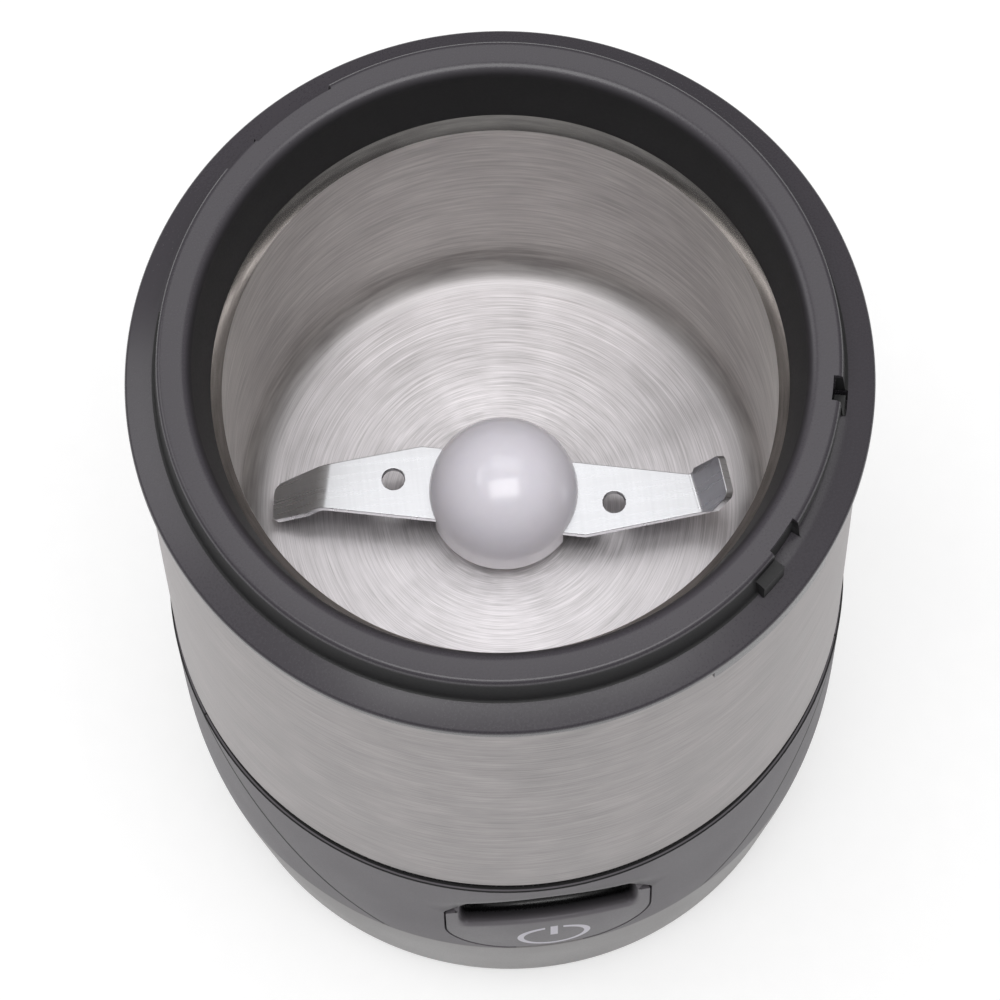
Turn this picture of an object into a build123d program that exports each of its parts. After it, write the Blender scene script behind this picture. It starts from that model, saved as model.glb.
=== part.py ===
from build123d import *
import os
from math import cos, radians, sin

# Electric spice grinder, in millimetres. The motor's axis is Z, the floor is z = 0 and the switch
# paddle faces -Y. An azimuth is measured from the front (-Y) towards the right (+X), in degrees.

# Heights of the outer pieces, each measured on that piece alone
foot_stand = 1.5
band_height = 23.7
shell_height = 33.3
trim_height = 2.4
sleeve_height = 76.4
rim_cover = 1.2
rim_edge = 1.5
flange_rise = 1.7
neck_height = 7.0

# Outer form: the sleeve's radius, and how far the other pieces stand in or out from it
sleeve_radius = 48.75
flange_overhang = 1.25
neck_step = 2.85
throat_step = 7.3
mouth_step = 2.4
trim_inset = 0.45
shell_proud = 0.35
knee_inset = 0.35
knee_rise = 2.4
knee_round = 170.0
foot_inset = 3.9
neck_taper = 0.55
neck_inner_round = 1.8
neck_outer_round = 0.7
neck_cove = 1.2
rim_round = 0.6

# Walls and clearances
sleeve_wall = 0.5
sleeve_hem_width = 2.15
shell_wall = 2.4
band_wall = 2.2
tube_wall = 1.7
seam_gap = 0.15
slip_gap = 0.15
running_gap = 0.05
moving_gap = 0.3
head_thick = 1.8
hole_gap = 0.25

# Bowl, its gasket and the shaft seal in its floor
bowl_sink = 2.9
bowl_depth = 50.1
bowl_wall = 0.8
bowl_flare_height = 2.3
bowl_flare = 1.0
bowl_taper = 0.6
bowl_corner = 4.5
bowl_rim_width = 2.6
gasket_inset = 0.8
gasket_margin = 0.2
gasket_height = 0.8
seal_wall = 2.0
seal_lip_width = 1.5
seal_flange_width = 3.0
seal_lip_height = 1.1
seal_flange_height = 1.2
seal_lip_taper = 0.9

# Base plate, feet and the shell's columns
plate_gap = 0.1
plate_thick = 2.5
plate_lift = 0.4
ledge_thick = 1.8
ledge_width = 8.8
column_radius = 3.6
column_inset = 6.7
column_azimuths = (45.0, 135.0, 225.0, 315.0)
base_screw_radius = 1.4
base_screw_head = 2.8
base_screw_length = 17.0
foot_pad_radius = 5.0
foot_stud_radius = 1.9
foot_barb = 0.7
foot_pad_inset = 11.7
foot_azimuths = (0.0, 90.0, 180.0, 270.0)
foot_sink = 0.8
vent_count = 10
vent_width = 2.2
vent_inner = 12.0
vent_outer = 24.0

# Shell flange, tongue and trim ring
shell_flange_thick = 2.6
frame_ring_width = 6.0
tongue_thick = 1.5
tongue_drop = 4.2
tongue_rise = 1.6
rib_thick = 1.6
rib_azimuths = (135.0, 225.0)
frame_screw_inset = 3.0
frame_screw_radius = 1.3
frame_screw_head = 2.4
frame_screw_length = 12.0
frame_screw_azimuths = (22.0, 112.0, 202.0, 292.0)
frame_boss_radius = 2.6
frame_boss_height = 10.0

# Front panel, paddle and its hinge
panel_foot_inset = 25.6
panel_middle_inset = 12.8
panel_top_inset = 2.9
paddle_width = 30.0
paddle_corner = 10.0
face_side_rise = 11.3
face_crown_rise = 16.0
paddle_inset = 0.1
paddle_gap = 0.3
paddle_thick = 1.9
lip_side_rise = 19.2
lip_crown_rise = 25.6
lip_gap = 1.0
flank_width = 2.2
scoop_depth = 4.6
scoop_wall = 1.4
lap_thick = 1.2
lap_rise = 16.8
lap_width = 2.5
hinge_rise = 4.8
hinge_inset = 7.6
hinge_pin_radius = 1.0
hinge_boss_radius = 2.0
hinge_boss_half = 7.0
ear_width = 2.1
ear_half = 2.6
stem_rise = 13.8
stem_radius = 1.6
stem_reach = 2.9
front_reach = 10.9

# Power switch and its bracket
switch_half_width = 10.0
switch_half_height = 3.2
switch_gap = 1.7
plunger_half_width = 1.5
plunger_half_height = 1.2
plunger_length = 3.2
plunger_tip_gap = 0.5
plunger_room = 1.5
bracket_margin = 3.0
bracket_half_height = 3.5
bracket_thick = 1.6
post_offset = 3.5
post_radius = 2.3
small_screw_radius = 1.1
small_screw_head = 2.1
small_screw_length = 8.0

# Cord outlet and clamp at the back
outlet_rise = 10.8
outlet_bore = 3.4
outlet_boss_radius = 5.6
outlet_length = 10.6
clamp_half = 9.5
clamp_width = 5.0
clamp_inset = 11.6
saddle_drop = 6.5
saddle_sink = 2.2
clamp_seat_rise = 2.2
clamp_thick = 2.4
clamp_post_inner = 4.6
clamp_screw_spread = 7.0
clamp_screw_length = 7.5

# Inner frame
deck_thick = 3.2
deck_hole_gap = 0.6
deck_rib_count = 8
deck_rib_length = 12.4
deck_rib_drop = 7.0
frame_top_gap = 7.3
top_flange_thick = 2.6
top_flange_width = 5.8
collar_boss_radius = 2.3
collar_screw_inset = 2.7
collar_screw_radius = 1.2
collar_screw_head = 2.4
collar_screw_length = 7.5
collar_screw_azimuths = (25.0, 115.0, 205.0, 295.0)

# Lid bayonet cut into the collar's neck
track_depth = 1.3
track_height = 3.2
right_entry = (45.0, 52.0)
right_track_end = 74.4
right_lug_start = 39.8
lug_proud = 1.2
lug_sink = 1.0
lug_drop = 1.8
left_entry = (203.0, 219.0)
left_step_end = 226.0
left_step_depth = 0.95
left_track_end = 252.0
skirt_tab = (26.8, 52.2)
skirt_tab_drop = 2.0

# Interlock rod and switch
rod_azimuth = 76.5
rod_thick = 1.5
rod_wall_gap = 0.4
rod_half_width = 1.5
rod_head_above_rim = 1.0
rod_foot_reach = 2.6
rod_foot_height = 2.1
rod_travel = 2.0
rod_lift = 0.35
lock_switch_half = 6.4
lock_switch_set_in = 0.4
lock_switch_depth = 5.8
lock_switch_height = 6.8
shelf_drop = 14.5
lock_plunger_half = 1.2
lock_plunger_set_in = 0.8
lock_plunger_thick = 1.6
lock_plunger_length = 5.6
lock_plunger_proud = 2.2
shelf_thick = 2.0
cheek_thick = 1.4
cheek_height = 4.4

# Motor: shaft, bearings and brackets
shaft_radius = 4.0
shaft_shoulder = 1.0
shaft_below_bearing = 1.0
shaft_above_blade = 7.0
bearing_wall = 3.0
cup_wall = 1.6
top_bearing_drop = 3.35
top_bearing_length = 6.5
top_cup_drop = 3.85
top_cup_rise = 3.65
mount_height = 5.0
bracket_plate = 1.6
bracket_overhang = 4.5
bracket_half_y = 13.0
leg_offset = 2.5
leg_height = 14.35
leg_half = 4.5
leg_foot_offset = 2.9
mount_x = 25.5
mount_y = 8.0
mount_radius = 4.6
mount_bore = 1.9
mount_screw_radius = 1.5
mount_screw_head = 2.8
mount_screw_grip = 2.2
bolt_spread = 23.5
bolt_radius = 1.5
bolt_gap = 0.1
bolt_head = 2.7

# Motor: stator and armature
stack_height = 20.0
stator_margin = 3.5
stator_half_y = 22.0
stator_corner = 8.0
air_gap = 0.5
neck_half = 9.8
horn_half = 11.6
coil_inner = 15.2
coil_outer = 18.8
coil_half = 16.0
coil_end = 4.4
coil_corner = 4.0
armature_radius = 14.7
slot_count = 10
slot_half = 1.6
slot_low_radius = 8.8
slot_inset = 1.4
slot_mouth_half = 0.7
winding_inset = 1.5
winding_shaft_gap = 0.3
winding_end = 5.2
winding_slope = 1.8
winding_gap = 0.1

# Motor: commutator, brushes and fan
commutator_radius = 9.0
commutator_drop = 14.2
commutator_length = 8.2
groove_depth = 0.6
groove_half = 0.25
bridge_drop = 17.6
bridge_thick = 2.6
bridge_half_y = 9.0
bridge_arm_half = 6.0
bridge_arm_margin = 0.5
bridge_leg_radius = 3.6
lower_cup_depth = 6.4
cup_floor = 1.6
lower_bearing_length = 6.1
cup_floor_gap = 0.5
brush_half = 2.5
brush_rise = 1.5
brush_height = 4.8
brush_back = 20.0
tube_near_gap = 1.2
tube_far = 26.0
tube_skin = 1.1
brush_gap = 0.1
spring_leaf = 0.35
spring_folds = 5
fan_radius = 22.0
fan_hub_wall = 3.0
fan_drop = 8.15
fan_disc_thick = 1.2
fan_hub_length = 3.9
fan_blade_height = 4.4
fan_blade_inner = 10.0
fan_blade_thick = 1.2
fan_blade_count = 8
fan_blade_lean = 25.0

# Blade and hub
blade_lift = 5.75
blade_thick = 1.2
blade_turn = -13.8
blade_root_half = 5.3
blade_taper_start = 12.2
blade_hole = 1.6
blade_hole_at = 15.6
up_fold = 26.3
up_heel = (28.4, 0.0)
up_lean = 59.7
up_flap = 7.5
down_fold = 25.4
down_heel = (25.4, -1.1)
down_lean = -33.7
down_flap = 8.2
spacer_wall = 3.0
spacer_low_gap = 0.4
hub_radius = 10.5
hub_skirt = 2.9
hub_wall = 2.1
hub_slot_gap = 0.15

# Radii, worked out from the sleeve's
flange_radius = sleeve_radius + flange_overhang
neck_radius = sleeve_radius - neck_step
throat_radius = neck_radius - throat_step
mouth_radius = throat_radius + mouth_step
trim_radius = sleeve_radius - trim_inset
shell_radius = sleeve_radius + shell_proud
knee_radius = shell_radius - knee_inset
foot_radius = shell_radius - foot_inset
sleeve_hem_inner = sleeve_radius - sleeve_hem_width
tube_inner = sleeve_radius - sleeve_wall - slip_gap - tube_wall
bowl_top_radius = throat_radius - bowl_flare
bowl_foot_radius = bowl_top_radius - bowl_taper
bowl_rim_radius = throat_radius + bowl_rim_width
gasket_inner = throat_radius + gasket_inset
gasket_outer = bowl_rim_radius - gasket_margin
plate_radius = foot_radius - band_wall - plate_gap
ledge_inner = foot_radius - ledge_width
column_ring = foot_radius - column_inset
foot_ring = foot_radius - foot_pad_inset
frame_ring_inner = tube_inner - frame_ring_width
frame_screw_ring = tube_inner - frame_screw_inset
collar_screw_ring = tube_inner - collar_screw_inset
top_flange_inner = tube_inner - top_flange_width
deck_rib_inner = tube_inner - deck_rib_length
rod_outer = tube_inner - rod_wall_gap
rod_inner = rod_outer - rod_thick
rod_foot_inner = rod_outer - rod_foot_reach
lock_switch_outer = rod_outer - lock_switch_set_in
lock_switch_inner = lock_switch_outer - lock_switch_depth
lock_plunger_outer = rod_outer - lock_plunger_set_in
lock_plunger_inner = lock_plunger_outer - lock_plunger_thick

# Levels, worked out from the floor up
band_foot = foot_stand
shell_foot = band_foot + band_height
shell_top = shell_foot + shell_height
sleeve_foot = shell_top + trim_height
sleeve_top = sleeve_foot + sleeve_height
rim_top = sleeve_top + rim_cover
neck_foot = rim_top + flange_rise
neck_top = rim_top + neck_height
lip_level = rim_top - bowl_sink
rim_seat = lip_level - seam_gap
underside = rim_seat + gasket_height
bowl_floor = rim_seat - bowl_depth
seal_top = bowl_floor + seal_lip_height
deck_top = bowl_floor - bowl_wall
deck_low = deck_top - deck_thick
frame_top = sleeve_top - frame_top_gap
plate_low = band_foot + plate_lift
plate_high = plate_low + plate_thick
ledge_high = plate_high + ledge_thick
knee_height = shell_foot + knee_rise
flange_low = shell_top - shell_flange_thick
collar_screw_top = frame_top - top_flange_thick - head_thick + collar_screw_length

# Places round the paddle, its switch, the cord outlet and the interlock
panel_foot_half = shell_radius - panel_foot_inset
panel_middle_half = shell_radius - panel_middle_inset
panel_top_half = shell_radius - panel_top_inset
front_cut = shell_radius + front_reach
face_side_top = shell_foot + face_side_rise
face_crown_top = shell_foot + face_crown_rise
lip_side_top = shell_foot + lip_side_rise
lip_crown_top = shell_foot + lip_crown_rise
lap_high = shell_foot + lap_rise
hinge_height = shell_foot + hinge_rise
hinge_depth = shell_radius - hinge_inset
ear_root = paddle_width / 2 + paddle_gap
ear_outer = ear_root + ear_width
stem_height = shell_foot + stem_rise
stem_end = hinge_depth - stem_reach
bridge_arm_reach = tube_far + bridge_arm_margin
switch_front = stem_end - switch_gap
switch_back = bridge_arm_reach + moving_gap + bracket_thick
post_spread = paddle_width / 2 + post_offset
bracket_half_width = post_spread + bracket_margin
outlet_height = shell_foot + outlet_rise
outlet_inner_face = shell_radius - outlet_length
clamp_far = shell_radius - clamp_inset
clamp_near = clamp_far - clamp_width
clamp_middle = (clamp_near + clamp_far) / 2
clamp_seat = outlet_height + clamp_seat_rise
saddle_low = outlet_height - saddle_drop
saddle_floor = outlet_height - saddle_sink
shelf_top = shell_top - shelf_drop
lock_switch_top = shelf_top + lock_switch_height
rod_low = lock_switch_top + lock_plunger_proud + rod_lift

# The motor's radii, and its levels, worked out from the deck down
shaft_end_radius = shaft_radius - shaft_shoulder
seal_hole_radius = shaft_radius + seal_wall
seal_lip_radius = seal_hole_radius + seal_lip_width
seal_flange_radius = seal_hole_radius + seal_flange_width
deck_hole_radius = seal_flange_radius + deck_hole_gap
bearing_radius = shaft_radius + bearing_wall
cup_radius = bearing_radius + cup_wall
cup_floor_hole = shaft_end_radius + cup_floor_gap
fan_hub_radius = shaft_radius + fan_hub_wall
spacer_radius = shaft_radius + spacer_wall
winding_inner = shaft_radius + winding_shaft_gap
hub_cavity_radius = hub_radius - hub_wall
stator_bore = armature_radius + air_gap
stator_half_x = bolt_spread + stator_margin
window_near = coil_inner - moving_gap
window_far = coil_outer + moving_gap
window_half = coil_half + moving_gap
slot_high_radius = armature_radius - slot_inset
winding_radius = armature_radius - winding_inset
leg_inner = bolt_spread + leg_offset
leg_foot_inner = bolt_spread - leg_foot_offset
bracket_half_x = mount_x + bracket_overhang
tube_near = commutator_radius + tube_near_gap
plate_level = deck_low - mount_height
top_bearing_low = plate_level - top_bearing_drop
top_cup_low = plate_level - top_cup_drop
top_cup_high = plate_level + top_cup_rise
stack_high = plate_level - leg_height
stack_low = stack_high - stack_height
fan_low = plate_level - fan_drop
fan_disc_top = fan_low + fan_disc_thick
commutator_low = stack_low - commutator_drop
commutator_high = commutator_low + commutator_length
brush_low = commutator_low + brush_rise
brush_high = brush_low + brush_height
bridge_low = stack_low - bridge_drop
bridge_high = bridge_low + bridge_thick
lower_cup_low = bridge_low - lower_cup_depth
lower_bearing_low = lower_cup_low + cup_floor
lower_bearing_high = lower_bearing_low + lower_bearing_length
shaft_low = lower_bearing_low - shaft_below_bearing
shaft_step = lower_bearing_high + moving_gap
mount_screw_top = deck_low + mount_screw_grip
blade_low = bowl_floor + blade_lift
blade_middle = blade_low + blade_thick / 2


def outline(*corners):
    """Closed outline through its corners; a third number rounds that corner."""
    rounds = [corner[2] if len(corner) == 3 else 0 for corner in corners]
    points = [corner[:2] for corner in corners]
    return make_face(FilletPolyline(*points, radius=rounds, close=True))


def turned(*corners):
    """Solid turned about the upright axis from (radius, height) corners."""
    return revolve(Plane.XZ * outline(*corners), Axis.Z)


def ring(outer, inner, low, high):
    """Plain ring about the upright axis."""
    return turned((inner, low), (outer, low), (outer, high), (inner, high))


def bar(radius, low, high, x=0.0, y=0.0):
    """Upright round bar."""
    return Pos(x, y, (low + high) / 2) * Cylinder(radius, high - low)


def bar_along_y(radius, near, far, x, z):
    """Round bar lying along Y."""
    return Pos(x, (near + far) / 2, z) * Rot(90, 0, 0) * Cylinder(radius, far - near)


def bar_along_x(radius, half, y, z):
    """Round bar lying along X, centred on x = 0."""
    return Pos(0, y, z) * Rot(0, 90, 0) * Cylinder(radius, 2 * half)


def block(low, high):
    """Box between two opposite corners."""
    size = [abs(high[i] - low[i]) for i in range(3)]
    middle = [(high[i] + low[i]) / 2 for i in range(3)]
    return Pos(*middle) * Box(*size)


def spun(solid, azimuth):
    """The solid turned about the upright axis, from the front towards the right."""
    return Rot(0, 0, azimuth) * solid


def spot(radius, azimuth):
    """Point in plan at a radius and an azimuth."""
    return radius * sin(radians(azimuth)), -radius * cos(radians(azimuth))


def sector(outer, inner, low, high, start, stop):
    """Part of a ring between two azimuths."""
    face = Plane.XZ * outline((inner, low), (outer, low), (outer, high), (inner, high))
    return spun(revolve(face, Axis.Z, stop - start), start - 90)


def group(solids):
    """Several separate solids that make one node."""
    return Compound([part for solid in solids for part in solid.solids()])


def screw(radius, head_radius, head_low, length, x, y):
    """Screw driven upwards, with its head at the bottom."""
    head = bar(head_radius, head_low, head_low + head_thick, x, y)
    return head + bar(radius, head_low + head_thick, head_low + length, x, y)


# ---------------------------------------------------------------- base housing
def base_form(inset, low, high):
    """The base's outer form between two heights, drawn in by an inset."""
    form = turned(
        (0, band_foot),
        (foot_radius - inset, band_foot),
        (knee_radius - inset, knee_height, knee_round),
        (shell_radius - inset, shell_top),
        (0, shell_top),
    )
    return form & bar(shell_radius * 2, low, high)


def rod_way(low, high):
    """Slot that the interlock rod runs in, between two heights."""
    slot = block(
        (-rod_half_width - moving_gap, -rod_outer - moving_gap, low),
        (rod_half_width + moving_gap, moving_gap - rod_inner, high),
    )
    return spun(slot, rod_azimuth)


def lower_band():
    """Painted ring at the foot of the body, with a ledge for the base plate."""
    band = base_form(0, band_foot, shell_foot) - base_form(band_wall, band_foot, shell_foot)
    band += ring(foot_radius - band_wall / 2, ledge_inner, plate_high, ledge_high)
    for azimuth in column_azimuths:
        x, y = spot(column_ring, azimuth)
        band -= bar(base_screw_radius + hole_gap, plate_high, ledge_high, x, y)
    return band


def base_plate():
    """Bottom cover with foot sockets, counterbored screw holes and air slots."""
    plate = bar(plate_radius, plate_low, plate_high)
    for azimuth in column_azimuths:
        x, y = spot(column_ring, azimuth)
        plate -= bar(base_screw_radius + hole_gap, plate_low, plate_high, x, y)
        plate -= bar(base_screw_head + hole_gap, plate_low, plate_low + head_thick, x, y)
    for azimuth in foot_azimuths:
        x, y = spot(foot_ring, azimuth)
        plate -= bar(foot_pad_radius + slip_gap, plate_low, plate_low + foot_sink, x, y)
        plate -= bar(foot_stud_radius, plate_low, plate_high, x, y)
    half = vent_width / 2
    vent = block((vent_inner, -half, plate_low), (vent_outer, half, plate_high))
    for place in range(vent_count):
        plate -= spun(vent, (place + 0.5) * 360 / vent_count)
    return plate


def rubber_feet():
    """Push-in feet: a pad below the plate, a stud through it and a barb above."""
    shoulder = plate_low + foot_sink
    barb_top = plate_high + 2 * foot_barb
    foot = turned(
        (0, 0),
        (foot_pad_radius, 0),
        (foot_pad_radius, shoulder),
        (foot_stud_radius, shoulder),
        (foot_stud_radius, plate_high),
        (foot_stud_radius + foot_barb, plate_high),
        (foot_stud_radius, barb_top),
        (0, barb_top),
    )
    return group(Pos(*spot(foot_ring, azimuth), 0) * foot for azimuth in foot_azimuths)


def base_screws():
    """Long screws from the base plate up into the shell's columns."""
    return group(
        screw(
            base_screw_radius,
            base_screw_head,
            plate_low,
            base_screw_length,
            *spot(column_ring, azimuth),
        )
        for azimuth in column_azimuths
    )


def base_shell():
    """Upper base housing: skin, top flange, tongue, columns, switch shelf and cord saddle."""
    tongue_low = shell_foot - tongue_drop
    tongue_high = shell_foot + tongue_rise
    tongue_inset = band_wall + slip_gap
    shell = base_form(0, shell_foot, shell_top) - base_form(shell_wall, shell_foot, shell_top)
    shell += base_form(shell_wall / 2, flange_low, shell_top) - bar(
        frame_ring_inner, flange_low, shell_top
    )
    tongue = base_form(tongue_inset, tongue_low, shell_foot)
    tongue += base_form(shell_wall / 2, shell_foot, tongue_high)
    shell += tongue - base_form(tongue_inset + tongue_thick, tongue_low, tongue_high)
    shell -= panel_prism(0) - base_form(shell_wall + seam_gap, shell_foot, shell_top)
    rib = block(
        (-rib_thick / 2, -shell_radius, shell_foot), (rib_thick / 2, -column_ring, flange_low)
    )
    for azimuth in rib_azimuths:
        shell += spun(rib, azimuth) & base_form(shell_wall / 2, shell_foot, flange_low)
    for azimuth in column_azimuths:
        x, y = spot(column_ring, azimuth)
        shell += bar(column_radius, ledge_high, flange_low, x, y)
        pilot_top = plate_low + base_screw_length
        shell -= bar(base_screw_radius, ledge_high, pilot_top, x, y)
    for azimuth in frame_screw_azimuths:
        x, y = spot(frame_screw_ring, azimuth)
        shell -= bar(frame_screw_radius + hole_gap, flange_low, shell_top, x, y)
    shell -= rod_way(flange_low, shell_top)
    return shell + switch_shelf() + cord_saddle() - cord_way()


# ------------------------------------------------------- front panel and power switch
def panel_prism(gap):
    """Wide block, seen from the front as the panel, drawn in at its sides by a gap."""
    foot_half = panel_foot_half - gap
    middle_half = panel_middle_half - gap
    top_half = panel_top_half - gap
    middle = (shell_foot + shell_top) / 2
    edges = [
        Line((-foot_half, shell_foot), (foot_half, shell_foot)),
        ThreePointArc((foot_half, shell_foot), (middle_half, middle), (top_half, shell_top)),
        Line((top_half, shell_top), (-top_half, shell_top)),
        ThreePointArc((-top_half, shell_top), (-middle_half, middle), (-foot_half, shell_foot)),
    ]
    return extrude(Plane.XZ * make_face(edges), front_cut)


def paddle_prism(side_top, crown_top, grow):
    """Wide block, seen from the front as the paddle's outline grown by a margin."""
    half = paddle_width / 2 + grow
    low = shell_foot + paddle_inset + paddle_gap - grow
    corner = paddle_corner + grow
    side = side_top + grow
    slant = corner * (1 - sin(radians(45)))
    edges = [
        Line((corner - half, low), (half - corner, low)),
        ThreePointArc(
            (half - corner, low), (half - slant, low + slant), (half, low + corner)
        ),
        Line((half, low + corner), (half, side)),
        ThreePointArc((half, side), (0, crown_top + grow), (-half, side)),
        Line((-half, side), (-half, low + corner)),
        ThreePointArc(
            (-half, low + corner), (slant - half, low + slant), (corner - half, low)
        ),
    ]
    return extrude(Plane.XZ * make_face(edges), front_cut)


def front_panel():
    """Front panel with the paddle's opening, hinge ears, switch posts and laps at its sides."""
    opening = paddle_prism(lip_side_top, lip_crown_top, paddle_gap)
    panel = base_form(0, shell_foot, shell_top) - base_form(shell_wall, shell_foot, shell_top)
    panel = (panel & panel_prism(seam_gap)) - opening
    lap_low = shell_foot + tongue_rise + moving_gap
    lap_inset = shell_wall + seam_gap
    lap_space = base_form(lap_inset + lap_thick, lap_low, lap_high)
    root = base_form(shell_wall / 2, lap_low, lap_high) - lap_space
    lap = base_form(lap_inset, lap_low, lap_high) - lap_space
    panel += (root & panel_prism(seam_gap)) - panel_prism(lap_width)
    panel += (lap & panel_prism(-lap_width)) - panel_prism(lap_width)
    for side in (-1, 1):
        ear = block(
            (side * ear_root, -shell_radius, hinge_height - ear_half),
            (side * ear_outer, hinge_boss_radius - hinge_depth, hinge_height + ear_half),
        )
        panel += ear & base_form(shell_wall / 2, shell_foot, shell_top)
        x = side * post_spread
        post = bar_along_y(post_radius, -shell_radius, -switch_back, x, stem_height)
        post &= base_form(shell_wall / 2, shell_foot, shell_top)
        pilot = small_screw_length - bracket_thick
        post -= bar_along_y(
            small_screw_radius, -switch_back - pilot, -switch_back, x, stem_height
        )
        panel += post
    return panel - bar_along_x(hinge_pin_radius, ear_outer, -hinge_depth, hinge_height)


def button():
    """Rocking paddle: its face, the finger scoop above it, a hinge knuckle and a stem."""
    side_top = lip_side_top - lip_gap
    crown_top = lip_crown_top - lip_gap
    paddle = base_form(paddle_inset, shell_foot, shell_top)
    paddle -= base_form(scoop_depth + scoop_wall, shell_foot, shell_top)
    paddle &= paddle_prism(side_top, crown_top, 0)
    scoop = paddle_prism(lip_crown_top, lip_crown_top + paddle_corner, -flank_width)
    scoop -= paddle_prism(face_side_top, face_crown_top, 0)
    scoop -= base_form(scoop_depth, shell_foot, shell_top)
    paddle -= scoop
    skin = base_form(paddle_inset + paddle_thick, shell_foot, shell_top)
    paddle -= skin & paddle_prism(face_side_top, face_crown_top, -scoop_wall)
    heel_top = shell_foot + tongue_rise + 2 * moving_gap
    paddle -= base_form(paddle_inset + paddle_thick, shell_foot, heel_top)
    knuckle = bar_along_x(hinge_boss_radius, hinge_boss_half, -hinge_depth, hinge_height)
    web = block(
        (-hinge_boss_half, -shell_radius, hinge_height - hinge_boss_radius),
        (hinge_boss_half, -hinge_depth, hinge_height + hinge_boss_radius),
    )
    stem = bar_along_y(stem_radius, -shell_radius, -stem_end, 0, stem_height)
    behind = base_form(paddle_inset + paddle_thick / 2, shell_foot, shell_top)
    paddle = paddle + knuckle + ((web + stem) & behind)
    hole = hinge_pin_radius + running_gap
    return paddle - bar_along_x(hole, ear_root, -hinge_depth, hinge_height)


def button_pin():
    """Steel pin that the paddle rocks on, held in the panel's ears."""
    return bar_along_x(hinge_pin_radius, ear_outer, -hinge_depth, hinge_height)


def switch_bracket():
    """Flat bracket on the panel's two posts, with the power switch on its front."""
    plate = block(
        (-bracket_half_width, -switch_back, stem_height - bracket_half_height),
        (bracket_half_width, bracket_thick - switch_back, stem_height + bracket_half_height),
    )
    for x in (-post_spread, post_spread):
        hole = small_screw_radius + hole_gap
        plate -= bar_along_y(hole, -switch_back, bracket_thick - switch_back, x, stem_height)
    return plate


def power_switch():
    """Body of the push switch behind the paddle."""
    body = block(
        (-switch_half_width, -switch_front, stem_height - switch_half_height),
        (switch_half_width, -switch_back, stem_height + switch_half_height),
    )
    plunger_back = plunger_tip_gap + plunger_length - stem_end
    half_width = plunger_half_width + moving_gap
    half_height = plunger_half_height + moving_gap
    return body - block(
        (-half_width, -switch_front, stem_height - half_height),
        (half_width, plunger_back + plunger_room, stem_height + half_height),
    )


def switch_plunger():
    """Sprung plunger of the power switch."""
    tip = plunger_tip_gap - stem_end
    return block(
        (-plunger_half_width, tip, stem_height - plunger_half_height),
        (plunger_half_width, tip + plunger_length, stem_height + plunger_half_height),
    )


def switch_screws():
    """Screws that hold the bracket to the panel's posts."""
    head_near = bracket_thick - switch_back
    screws = []
    for x in (-post_spread, post_spread):
        head = bar_along_y(small_screw_head, head_near, head_near + head_thick, x, stem_height)
        tip = head_near - small_screw_length
        screws.append(head + bar_along_y(small_screw_radius, tip, head_near, x, stem_height))
    return group(screws)


# --------------------------------------------------------------------- cord outlet
def cord_saddle():
    """Outlet boss for the power cord and the saddle that the cord is clamped on."""
    inside = base_form(shell_wall / 2, shell_foot, shell_top)
    boss = bar_along_y(outlet_boss_radius, outlet_inner_face, shell_radius, 0, outlet_height)
    saddle = block((-clamp_half, clamp_near, saddle_low), (clamp_half, shell_radius, saddle_floor))
    for side in (-1, 1):
        saddle += block(
            (side * clamp_post_inner, clamp_near, saddle_low),
            (side * clamp_half, clamp_far, clamp_seat),
        )
        pilot_low = clamp_seat + clamp_thick - clamp_screw_length
        saddle -= bar(
            small_screw_radius, pilot_low, clamp_seat, side * clamp_screw_spread, clamp_middle
        )
    return (boss + saddle) & inside


def cord_way():
    """Bore for the power cord."""
    return bar_along_y(outlet_bore, clamp_far, front_cut, 0, outlet_height)


def cord_clamp():
    """Strip that clamps the cord onto its saddle."""
    strip = block(
        (-clamp_half, clamp_near, clamp_seat), (clamp_half, clamp_far, clamp_seat + clamp_thick)
    )
    for x in (-clamp_screw_spread, clamp_screw_spread):
        hole = small_screw_radius + hole_gap
        strip -= bar(hole, clamp_seat, clamp_seat + clamp_thick, x, clamp_middle)
    return strip


def clamp_screws():
    """Screws that pull the clamp down onto the saddle."""
    seat = clamp_seat + clamp_thick
    screws = []
    for x in (-clamp_screw_spread, clamp_screw_spread):
        head = bar(small_screw_head, seat, seat + head_thick, x, clamp_middle)
        shank = bar(small_screw_radius, seat - clamp_screw_length, seat, x, clamp_middle)
        screws.append(head + shank)
    return group(screws)


# ------------------------------------------------------------------ safety interlock
def switch_shelf():
    """Shelf and two cheeks that hold the interlock switch."""
    half = lock_switch_half + slip_gap + cheek_thick
    shelf = block(
        (-half, -shell_radius, shelf_top - shelf_thick), (half, -lock_switch_inner, shelf_top)
    )
    for side in (-1, 1):
        shelf += block(
            (side * (half - cheek_thick), -shell_radius, shelf_top),
            (side * half, -lock_switch_inner, shelf_top + cheek_height),
        )
    inside = base_form(shell_wall / 2, shell_foot, shell_top)
    return spun(shelf, rod_azimuth) & inside


def interlock_switch():
    """Body of the switch that lets the motor run only under a locked lid."""
    body = block(
        (-lock_switch_half, -lock_switch_outer, shelf_top),
        (lock_switch_half, -lock_switch_inner, lock_switch_top),
    )
    low = lock_switch_top + lock_plunger_proud - lock_plunger_length - rod_travel - moving_gap
    body -= block(
        (-lock_plunger_half - moving_gap, -lock_plunger_outer - moving_gap, low),
        (lock_plunger_half + moving_gap, moving_gap - lock_plunger_inner, lock_switch_top),
    )
    return spun(body, rod_azimuth)


def interlock_plunger():
    """Sprung plunger of the interlock switch."""
    high = lock_switch_top + lock_plunger_proud
    plunger = block(
        (-lock_plunger_half, -lock_plunger_outer, high - lock_plunger_length),
        (lock_plunger_half, -lock_plunger_inner, high),
    )
    return spun(plunger, rod_azimuth)


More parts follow.
